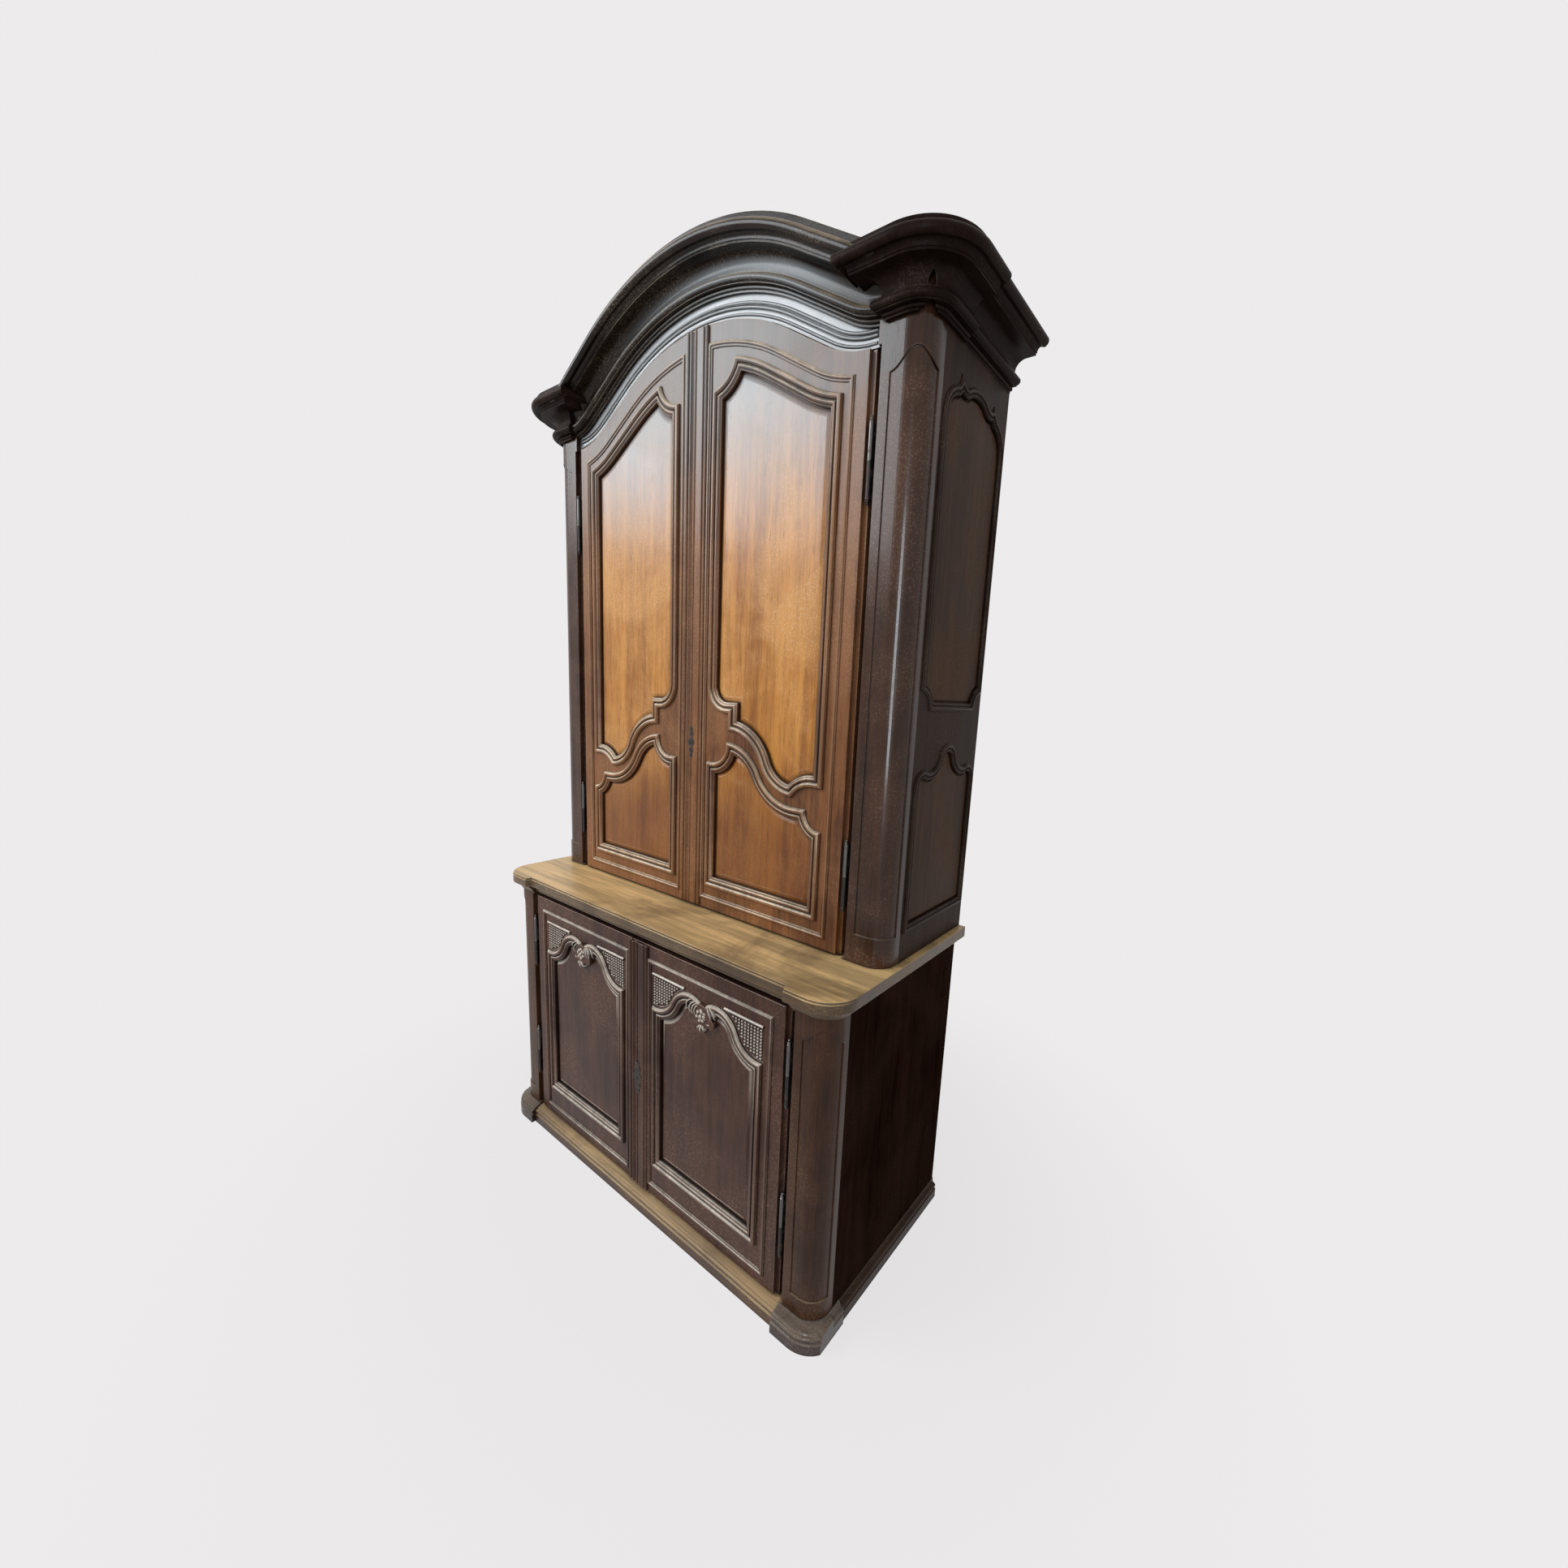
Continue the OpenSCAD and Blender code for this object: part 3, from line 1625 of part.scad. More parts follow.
// Half barrel from z0 up by h, with its leaf towards side s, and a bore of radius r
module half_hinge(face, z0, h, s, r, finial_up) {
  translate([axis_x, face - axis_out, 0])
    difference() {
      union() {
        translate([0, 0, z0])
          cylinder(h = h, r = barrel_r);
        translate([0, 0, finial_up ? z0 + h : z0])
          mirror([0, 0, finial_up ? 0 : 1])
            finial();
        translate([s < 0 ? -barrel_r + 1 : 0, 0, finial_up ? z0 + 2 : z0 + h - 2 - leaf_h])
          cube([barrel_r - 1, leaf_in + axis_out + leaf_t, leaf_h]);
        translate([s < 0 ? door_half - leaf_w - axis_x : 0, leaf_in + axis_out,
                   finial_up ? z0 + 2 : z0 + h - 2 - leaf_h])
          cube([s < 0 ? leaf_w + axis_x - door_half : post_x + leaf_w - axis_x, leaf_t, leaf_h]);
      }
      translate([0, 0, finial_up ? z0 - CUT : z0 + 4])
        cylinder(h = h - 4 + CUT, r = r);
    }
}

pin_reach = 4;

module seats(face, heights) {
  for (side = [0, 1])
    mirror([side, 0, 0])
      for (z = heights)
        half_hinge(face, z - barrel_l / 2, barrel_l / 2, 1, pin_r, false);
}

module leaves(face, heights) {
  for (z = heights)
    half_hinge(face, z + barrel_gap, barrel_l / 2 - barrel_gap, -1, pin_r + pin_clear, true);
}

module pins(face, heights) {
  for (side = [0, 1])
    mirror([side, 0, 0])
      for (z = heights)
        translate([axis_x, face - axis_out, z - barrel_l / 2 + pin_reach])
          cylinder(h = barrel_l - 3 * pin_reach, r = pin_r);
}

module upper_hinge_seats() {
  color("dimgray")
    seats(upper_face, upper_hinges);
}

module lower_hinge_seats() {
  color("dimgray")
    seats(lower_face, lower_hinges);
}

module hinge_pins() {
  color("silver") {
    pins(upper_face, upper_hinges);
    pins(lower_face, lower_hinges);
  }
}

module upper_left_hinges() {
  color("dimgray")
    mirror([1, 0, 0])
      leaves(upper_face, upper_hinges);
}

module upper_right_hinges() {
  color("dimgray")
    leaves(upper_face, upper_hinges);
}

module lower_left_hinges() {
  color("dimgray")
    mirror([1, 0, 0])
      leaves(lower_face, lower_hinges);
}

module lower_right_hinges() {
  color("dimgray")
    leaves(lower_face, lower_hinges);
}

plinth_front();
plinth_sides();
front_foot_left();
front_foot_right();
lower_corner_post_left();
lower_corner_post_right();
lower_rear_posts();
lower_side_left();
lower_side_right();
lower_bottom_boards();
lower_shelf();
lower_back_boards();
lower_front_rails();
countertop();
countertop_cove();
upper_corner_post_left();
upper_corner_post_right();
upper_rear_posts();
upper_side_frame_left();
upper_side_frame_right();
upper_side_panels_left();
upper_side_panels_right();
upper_bottom_boards();
upper_shelves();
upper_back_boards();
arch_board();
cornice_front();
cornice_left();
cornice_right();
upper_top_boards();
shelf_cleats();
upper_left_door_frame();
upper_left_door_panels();
upper_right_door_frame();
upper_right_door_panels();
upper_closing_strip();
lower_left_door_frame();
lower_left_door_panel();
lower_right_door_frame();
lower_right_door_panel();
lower_closing_strip();
lower_left_door_carving();
lower_right_door_carving();
upper_lock_case();
upper_lock_bolt();
lower_lock_case();
lower_lock_bolt();
upper_keyhole_plate();
lower_keyhole_plate();
upper_door_bolt();
lower_door_bolt();
upper_bolt_staples();
lower_bolt_staples();
upper_hinge_seats();
lower_hinge_seats();
hinge_pins();
upper_left_hinges();
upper_right_hinges();
lower_left_hinges();
lower_right_hinges();
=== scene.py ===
"""Dresses a two-part oak buffet: finishes for its timber and iron, and the fine forms of its doors."""

import logging
import math
from collections.abc import Callable
from dataclasses import dataclass
from enum import Enum
from functools import partial, partialmethod
from typing import ClassVar

import bpy
import numpy as np
from mathutils import Matrix


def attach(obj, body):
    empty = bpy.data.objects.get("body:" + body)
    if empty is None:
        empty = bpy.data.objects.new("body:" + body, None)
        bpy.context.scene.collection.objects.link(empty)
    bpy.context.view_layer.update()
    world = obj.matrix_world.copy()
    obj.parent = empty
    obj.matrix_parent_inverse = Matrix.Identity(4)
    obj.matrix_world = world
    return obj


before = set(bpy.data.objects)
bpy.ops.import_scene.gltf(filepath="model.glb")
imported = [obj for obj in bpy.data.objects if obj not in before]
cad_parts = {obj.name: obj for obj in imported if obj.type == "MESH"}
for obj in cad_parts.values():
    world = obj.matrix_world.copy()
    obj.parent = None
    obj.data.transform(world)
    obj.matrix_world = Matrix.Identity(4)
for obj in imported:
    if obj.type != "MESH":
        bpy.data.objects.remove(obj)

LOG = logging.getLogger("buffet")
Array = np.ndarray
Colour = tuple[float, float, float]
Place = tuple[float, float, float]
Material = bpy.types.Material
Outline = Callable[[float], Array]
Pair = tuple[float, float]
Socket = bpy.types.NodeSocket
HANDS = ("left", "right")
MM = 0.001
SLIVER = 0.05
SHARP = 38
# Colours are given in thousandths of full light
FULL = 1000


def shade(colour: Colour, share: float) -> Colour:
    """The colour with its three parts times the share."""
    return tuple(part * share for part in colour)


class Grain(Enum):
    """Direction in which the fibres of a board run, as the stretch of the pattern per axis."""

    UPRIGHT = (26, 26, 1.5)
    ACROSS = (1.5, 26, 26)
    DEEP = (26, 1.5, 26)


class Axis(Enum):
    """Direction along which the painted sheen grows."""

    DEPTH = "Y"
    HEIGHT = "Z"


@dataclass(frozen=True)
class OakFinish:
    """Waxed oak: tones of its figure, polish, wear with painted highlight, a painted sheen, a painted highlight on what
    looks up, painted shade towards the foot and in hollows.
    """

    name: str
    dark: Colour
    mid: Colour
    light: Colour
    # colour of wear and painted highlight on crests and edges, and of the flecks
    worn: Colour
    grain: Grain = Grain.UPRIGHT
    polish: float = 0.34
    wear: float = 0.5
    wax: float = 0.1
    sheen: float = 0.5
    patches: float = 0.5
    flecks: float = 0.3
    bump: float = 0.25
    # painted sheen: a pale tint on faces that look outwards, growing along an axis, standing in for the window's
    # reflection
    painted_sheen: float = 0
    painted_sheen_axis: Axis = Axis.HEIGHT
    painted_sheen_from: float = 1.9
    painted_sheen_to: float = 2.5
    painted_sheen_side: tuple[float, float, float, float] | None = None
    painted_sheen_tint: Colour = (400, 460, 500)
    # painted highlight on faces that look up; with flat_tops off, only where they also look a little forward
    painted_top_highlight_share: float = 0
    painted_top_highlight: Colour = (800, 620, 400)
    flat_tops: bool = True
    # painted shade: darker towards the bottom
    painted_low_shade: float = 0
    painted_low_shade_from: float = 1.15
    painted_low_shade_to: float = 1.5
    painted_low_shade_tint: Colour = (420, 330, 250)
    pore_tone: float = 0.35
    pore_share: float = 0.55
    # tones, as a share of the darkest one, where the crest value is hidden and in hollows: painted shade and dirt
    hidden_shade_and_dirt_tone: float = 0.15
    hollow_shade_and_dirt_tone: float = 0.12
    shut_share: float = 0.85
    crest_share: float = 0.3
    cloud_rough: float = 0.12
    hollow_rough: float = 0.3
    crest_polish: float = 0.16
    bump_depth: float = 0.0006
    wax_rough: float = 0.13
    bending: float = 1.48


@dataclass(frozen=True)
class IronFinish:
    """Forged iron: its black skin, its rubbed edges and its rust."""

    name: str
    skin: Colour
    rubbed: Colour
    rust: Colour
    roughness: float = 0.42
    wear: float = 0.7
    metal: float = 0.9
    rust_share: float = 0.6
    rust_rough: float = 0.25
    bump: float = 0.35
    bump_depth: float = 0.0004


class NodeMaker:
    """Adds nodes to one tree, with their values and links."""

    COLUMNS = 12
    CELL = (200, -260)

    def __init__(self, tree: bpy.types.NodeTree) -> None:
        """Empties the tree and keeps it."""
        tree.nodes.clear()
        self.tree, self.count = tree, 0

    @classmethod
    def group(cls, name: str, kind: str, *inputs: str) -> "NodeMaker":
        """Starts a node group.

        Args:
            name: the group's name.
            kind: socket type of its inputs.
            inputs: their names.

        Returns:
            The maker of its nodes.
        """
        tree = bpy.data.node_groups.new(name, "ShaderNodeTree")
        for label in inputs:
            tree.interface.new_socket(label, in_out="INPUT", socket_type=kind)
        return cls(tree)

    def give(self, **results: Socket) -> bpy.types.NodeTree:
        """Ends a node group.

        Args:
            results: sockets that leave the group, by the names of its outputs.

        Returns:
            The group's tree.
        """
        for label, result in results.items():
            kind = "NodeSocketVector" if result.type == "VECTOR" else "NodeSocketFloat"
            self.tree.interface.new_socket(label, in_out="OUTPUT", socket_type=kind)
        self.add("NodeGroupOutput", results)
        return self.tree

    def add(self, kind: str, values: dict | None = None, **settings: object) -> bpy.types.NodeOutputs:
        """Adds a node.

        Args:
            kind: Blender's node type, without the word ShaderNode.
            values: its inputs by name or number, each a socket to link, a colour or a plain value.
            settings: its properties.

        Returns:
            Its outputs.
        """
        node = self.tree.nodes.new(kind if kind.startswith("NodeGroup") else f"ShaderNode{kind}")
        node.location = (self.CELL[0] * (self.count % self.COLUMNS), self.CELL[1] * (self.count // self.COLUMNS))
        self.count += 1
        for key, value in settings.items():
            setattr(node, key, value)
        for key, value in (values or {}).items():
            if isinstance(value, Socket):
                self.tree.links.new(value, node.inputs[key])
            else:
                colour = node.inputs[key].type == "RGBA"
                node.inputs[key].default_value = (*shade(value, 1 / FULL), 1) if colour else value
        return node.outputs

    def maths(self, operation: str, a: Socket | float, b: Socket | float, clamp: bool = False) -> Socket:
        """Result of a Math node, kept within 0 and 1 where clamp is set."""
        return self.add("Math", {0: a, 1: b}, operation=operation, use_clamp=clamp)[0]

    # Sum, difference and product of two inputs
    plus = partialmethod(maths, "ADD")
    minus = partialmethod(maths, "SUBTRACT")
    times = partialmethod(maths, "MULTIPLY")

    def ramp(self, value: Socket, low: float, high: float) -> Socket:
        """Smooth step of a socket, from 0 at low to 1 at high."""
        values = {"Value": value, "From Min": low, "From Max": high}
        return self.add("MapRange", values, interpolation_type="SMOOTHSTEP")["Result"]

    def mix(self, share: Socket | float, a: Socket | Colour, b: Socket | Colour, blend: str = "MIX") -> Socket:
        """Mix of two colours, with the share of the second."""
        return self.add("Mix", {0: share, 6: a, 7: b}, data_type="RGBA", blend_type=blend)[2]

    def coat(self, base: Socket, mask: Socket, share: float, tone: Socket | Colour, blend: str = "MIX") -> Socket:
        """Base colour with a tone laid over it where the mask is, as strong as the share."""
        return self.mix(self.times(mask, share), base, tone, blend)

    def noise(self, place: Socket, scale: float, detail: float, roughness: float, distortion: float = 0) -> Socket:
        """Cloudy noise between 0 and 1 over a place."""
        values = {"Vector": place, "Scale": scale, "Detail": detail, "Roughness": roughness, "Distortion": distortion}
        return self.add("TexNoise", values)[0]


class SharedEffects:
    """Node groups that several finishes use, each built once."""

    EDGE_RADIUS = 0.0028
    HOLLOW_REACH = 0.022
    SAMPLES = 6

    def __init__(self) -> None:
        """Builds the groups for oak figure and for edges and hollows."""
        self.figure = self._build_figure()
        self.edges = self._build_edges()

    @staticmethod
    def _build_figure() -> bpy.types.NodeTree:
        """Oak figure: slow bands bent by noise, fine fibres, open pores, cloudy patches and small flecks.

        Returns:
            A group from a stretched and a plain position to tone, pores, patches, flecks and height.
        """
        make = NodeMaker.group("oak_figure", "NodeSocketVector", "Stretched", "Position")
        given = make.add("NodeGroupInput")
        bands = make.noise(given["Stretched"], 0.9, 5, 0.62, 0.35)
        fibres = make.noise(given["Stretched"], 5.5, 4, 0.7)
        pores = make.ramp(make.noise(given["Stretched"], 13, 2, 0.6), 0.6, 0.74)
        patches = make.noise(given["Position"], 3.2, 5, 0.6, 0.6)
        flecks = make.noise(given["Position"], 240, 2, 0.6, 0.6)
        tone = make.plus(make.times(bands, 0.62), make.times(fibres, 0.38))
        return make.give(
            Tone=make.ramp(tone, 0.36, 0.64),
            Pores=pores,
            Patches=make.ramp(patches, 0.35, 0.66),
            Flecks=make.times(make.ramp(flecks, 0.52, 0.66), make.ramp(patches, 0.4, 0.62)),
            Height=make.minus(make.times(fibres, 0.5), make.times(pores, 0.6)),
        )

    def _build_edges(self) -> bpy.types.NodeTree:
        """Edges and hollows: where the rounded normal leaves the flat one, and where light is shut out.

        Returns:
            A group that gives masks of edges, hollows, upward and forward faces, and the rounded normal.
        """
        make = NodeMaker.group("edges_and_hollows", "NodeSocketFloat", "Breakup")
        breakup = make.add("NodeGroupInput")["Breakup"]
        rounded = make.add("Bevel", {"Radius": self.EDGE_RADIUS}, samples=self.SAMPLES)[0]
        flat = make.add("NewGeometry")["True Normal"]
        away = make.minus(1, make.add("VectorMath", {0: rounded, 1: flat}, operation="DOT_PRODUCT")["Value"])
        light = make.add("AmbientOcclusion", {"Distance": self.HOLLOW_REACH}, samples=self.SAMPLES)["AO"]
        shut = make.minus(1, light)
        # edges that wear, kept out of hollows: lightened as wear, and on oak also as painted highlight lines
        worn = make.times(make.ramp(away, 0.015, 0.16), make.minus(1, make.ramp(shut, 0.05, 0.35)))
        facing = make.add("SeparateXYZ", {0: rounded})
        return make.give(
            Edge=make.times(worn, make.ramp(breakup, 0.15, 0.7), clamp=True),
            # Hollow: where light is shut out, darkened on oak as painted shade and dirt
            Hollow=make.ramp(shut, 0.16, 0.8),
            # Upward: faces that look up, where the painted highlight goes; Forward: faces that look forward, for the
            # painted sheen
            Upward=make.times(make.ramp(facing["Z"], 0.05, 0.38), make.ramp(breakup, -0.6, 0.6)),
            Forward=make.ramp(make.times(facing["Y"], -1), 0.55, 0.95),
            Rounded=rounded,
        )


class FinishShop:
    """Makes one material for each finish."""

    def __init__(self, effects: SharedEffects) -> None:
        """Keeps the shared effects and an empty shelf of materials."""
        self.effects = effects
        self.shelf: dict[str, Material] = {}

    def material(self, finish: OakFinish | IronFinish) -> Material:
        """Gives the material of a finish, made when it is first asked for.

        Args:
            finish: the finish.

        Returns:
            The material from the shelf.
        """
        if finish.name not in self.shelf:
            self.shelf[finish.name] = material = bpy.data.materials.new(finish.name)
            material.use_nodes = True
            make = NodeMaker(material.node_tree)
            values = self._oak(make, finish) if isinstance(finish, OakFinish) else self._iron(make, finish)
            make.add("OutputMaterial", {"Surface": make.add("BsdfPrincipled", values)[0]})
        return self.shelf[finish.name]

    def _oak(self, make: NodeMaker, finish: OakFinish) -> dict[str, object]:
        """Waxed oak: figure in three tones, dark pores, hollows darkened with painted shade and dirt, edges and crests
        lightened with wear and painted highlight, painted sheen and painted highlight on upward faces, painted shade
        low down, a coat of wax.

        Args:
            make: the tree to add the nodes to.
            finish: the tones and the polish.

        Returns:
            The shader's inputs.
        """
        place = make.add("TexCoord")
        stretched = make.add("Mapping", {"Vector": place["Object"], "Scale": finish.grain.value})[0]
        figure = make.add("Group", {"Stretched": stretched, "Position": place["Object"]}, node_tree=self.effects.figure)
        edges = make.add("Group", {"Breakup": figure["Patches"]}, node_tree=self.effects.edges)
        crest = make.add("Attribute", attribute_name="crest")["Fac"]
        spot = make.add("SeparateXYZ", {0: place["Object"]})
        outer = make.times(make.add("SeparateXYZ", {0: place["Normal"]})["Y"], -1)

        base = make.mix(figure["Tone"], finish.dark, finish.mid)
        base = make.coat(base, figure["Patches"], finish.patches, finish.light)
        base = make.coat(base, figure["Pores"], finish.pore_share, shade(finish.dark, finish.pore_tone))
        base = make.coat(base, figure["Flecks"], finish.flecks, finish.worn)
        # painted sheen: a pale tint that grows along an axis on faces that look outwards, standing in for the window's
        # reflection; where a side stretch is given, only across it and on forward faces
        if finish.painted_sheen > 0:
            rise = make.ramp(spot[finish.painted_sheen_axis.value], finish.painted_sheen_from, finish.painted_sheen_to)
            if finish.painted_sheen_side:
                start, full, fade, end = finish.painted_sheen_side
                across = make.minus(make.ramp(spot["X"], start, full), make.ramp(spot["X"], fade, end))
                rise = make.times(make.times(rise, across), edges["Forward"])
            rise = make.times(rise, make.ramp(outer, 0.1, 0.8))
            base = make.coat(base, rise, finish.painted_sheen, finish.painted_sheen_tint)
        # painted shade: darker towards the bottom
        if finish.painted_low_shade > 0:
            low = make.minus(1, make.ramp(spot["Z"], finish.painted_low_shade_from, finish.painted_low_shade_to))
            base = make.coat(base, low, finish.painted_low_shade, finish.painted_low_shade_tint, "MULTIPLY")
        # painted highlight on faces that look up
        if finish.painted_top_highlight_share > 0:
            upward = make.times(edges["Upward"], finish.painted_top_highlight_share)
            if not finish.flat_tops:
                upward = make.times(upward, make.ramp(outer, 0, 0.1))
            base = make.mix(upward, base, make.mix(figure["Tone"], shade(finish.painted_top_highlight, 0.5), finish.painted_top_highlight))
        # crests lighter: wear and painted highlight
        base = make.coat(base, make.ramp(crest, 0.3, 1), finish.wear * finish.crest_share, finish.worn)
        # hidden parts of the sections darker: painted shade and dirt
        hidden = make.ramp(make.times(crest, -1), 0.1, 1)
        base = make.coat(base, hidden, finish.shut_share, shade(finish.dark, finish.hidden_shade_and_dirt_tone))
        # edges lighter: wear and painted highlight lines
        base = make.coat(base, edges["Edge"], finish.wear, finish.worn)
        # hollows darker: painted shade and dirt
        base = make.coat(base, edges["Hollow"], finish.shut_share, shade(finish.dark, finish.hollow_shade_and_dirt_tone))

        rough = make.plus(make.times(figure["Patches"], finish.cloud_rough), finish.polish)
        rough = make.plus(rough, make.times(edges["Hollow"], finish.hollow_rough))
        rough = make.minus(rough, make.times(make.ramp(crest, 0, 1), finish.crest_polish), clamp=True)
        relief = {"Strength": finish.bump, "Distance": finish.bump_depth, "Height": figure["Height"]}
        return {
            "Base Color": base,
            "Roughness": rough,
            "IOR": finish.bending,
            "Normal": make.add("Bump", {**relief, "Normal": edges["Rounded"]})[0],
            "Specular IOR Level": finish.sheen,
            "Coat Weight": finish.wax,
            "Coat Roughness": finish.wax_rough,
        }

    def _iron(self, make: NodeMaker, finish: IronFinish) -> dict[str, object]:
        """Forged iron: black skin with hammer marks, rust in patches and rubbed bright edges.

        Args:
            make: the tree to add the nodes to.
            finish: the colours and roughness.

        Returns:
            The shader's inputs.
        """
        place = make.add("TexCoord")["Object"]
        marks = make.noise(place, 210, 3, 0.6)
        clouds = make.noise(place, 46, 4, 0.7)
        edges = make.add("Group", {"Breakup": clouds}, node_tree=self.effects.edges)
        rust = make.ramp(clouds, 0.48, 0.68)
        base = make.mix(make.times(rust, finish.rust_share), finish.skin, finish.rust)
        return {
            "Base Color": make.coat(base, edges["Edge"], finish.wear, finish.rubbed),
            "Metallic": make.minus(finish.metal, make.times(rust, finish.rust_share)),
            "Roughness": make.plus(make.times(rust, finish.rust_rough), finish.roughness, clamp=True),
            "Normal": make.add("Bump", {"Strength": finish.bump, "Distance": finish.bump_depth, "Height": marks})[0],
        }


class SubAssembly:
    """Part of the buffet: TABLE names the CAD nodes of each finish, with a star for both left and right."""

    TABLE: ClassVar[dict[str, str]]

    def finish(self, shop: FinishShop) -> None:
        """Dresses the CAD nodes of the part and adds its fine forms.

        Args:
            shop: maker of the materials.
        """
        for finish, patterns in self.TABLE.items():
            material = shop.material(getattr(self, finish))
            for name in dict.fromkeys(pattern.replace("*", hand) for pattern in patterns.split() for hand in HANDS):
                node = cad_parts[name]
                node.data.materials.clear()
                node.data.materials.append(material)
                LOG.info("%s takes %s", name, material.name)
        self.mouldings(shop)

    def mouldings(self, shop: FinishShop) -> None:
        """Adds the part's fine forms, where it has any."""


def leg(hypotenuse: float, side: float) -> float:
    """Other short side of a right-angled triangle: the root of the difference of the squares."""
    return math.sqrt(max(0, hypotenuse**2 - side**2))


def arc_points(centre: Array, radius: float, start: float, end: float, count: int = 14) -> Array:
    """Arc from one angle to another in degrees: the centre plus the radius times (cosine, sine) of even steps."""
    angle = np.radians(np.linspace(start, end, count))
    return np.asarray(centre) + radius * np.stack([np.cos(angle), np.sin(angle)], axis=1)


def arc_between(centre: Array, first: Array, last: Array, turn: int, count: int = 14) -> Array:
    """Arc about a centre from one point on it to another.

    Args:
        centre: its centre.
        first: where it starts.
        last: where it ends.
        turn: 1 for anticlockwise, -1 for clockwise.
        count: number of points.

    Returns:
        The points, one a row.
    """
    centre, first, last = (np.asarray(point, dtype=float) for point in (centre, first, last))
    start = math.degrees(math.atan2(*(first - centre)[::-1]))
    end = math.degrees(math.atan2(*(last - centre)[::-1]))
    sweep = (end - start) % 360 if turn > 0 else -((start - end) % 360)
    return arc_points(centre, float(np.hypot(*(first - centre))), start, start + sweep, count)


def meet(first: Array, first_r: float, second: Array, second_r: float, side: int) -> Array:
    """Point where two circles cross: along the line of centres by the radical distance, then square to it.

    Args:
        first: centre of the first circle.
        first_r: its radius.
        second: centre of the second circle.
        second_r: its radius.
        side: 1 for the crossing on the right of the line from first to second, -1 for the other.

    Returns:
        The point.
    """
    first, second = np.asarray(first, dtype=float), np.asarray(second, dtype=float)
    gap = float(np.hypot(*(second - first)))
    along = (second - first) / gap
    reach = (first_r**2 - second_r**2 + gap**2) / (2 * gap)
    return first + along * reach + side * leg(first_r, reach) * at(along[1], -along[0])


def chain(start: Array, circles: list[tuple], end: Array) -> Array:
    """Arcs from a start to an end, each of which gives way to the next where their circles cross or touch.

    Args:
        start: first point.
        circles: centre, radius and turn of each arc, and its number of points where that isn't the usual one.
        end: last point.

    Returns:
        The points, one a row.
    """
    joints = [start, *(meet(*a[:2], *b[:2], a[2]) for a, b in zip(circles, circles[1:])), end]
    parts = [arc_between(circle[0], *ends, *circle[2:]) for circle, *ends in zip(circles, joints, joints[1:])]
    return np.concatenate(parts[:1] + [part[1:] for part in parts[1:]])


def ogee(high: Array, low: Array) -> tuple[Array, Array, float]:
    """Ogee of two equal arcs, level at both ends: the radius is its span squared over four times its rise.

    Args:
        high: its upper end.
        low: its lower end.

    Returns:
        The centres of the upper and the lower arc, and the radius of both.
    """
    width, height = low[0] - high[0], high[1] - low[1]
    radius = (width**2 + height**2) / (4 * height)
    return high - [0, radius], low + [0, radius], radius


def at(across: float, up: float) -> Array:
    """A point across and up."""
    return np.array([across, up], dtype=float)


def flipped(points: Array) -> Array:
    """The same points with their first coordinate turned about and their order reversed."""
    return points[::-1] * np.array([-1, 1])


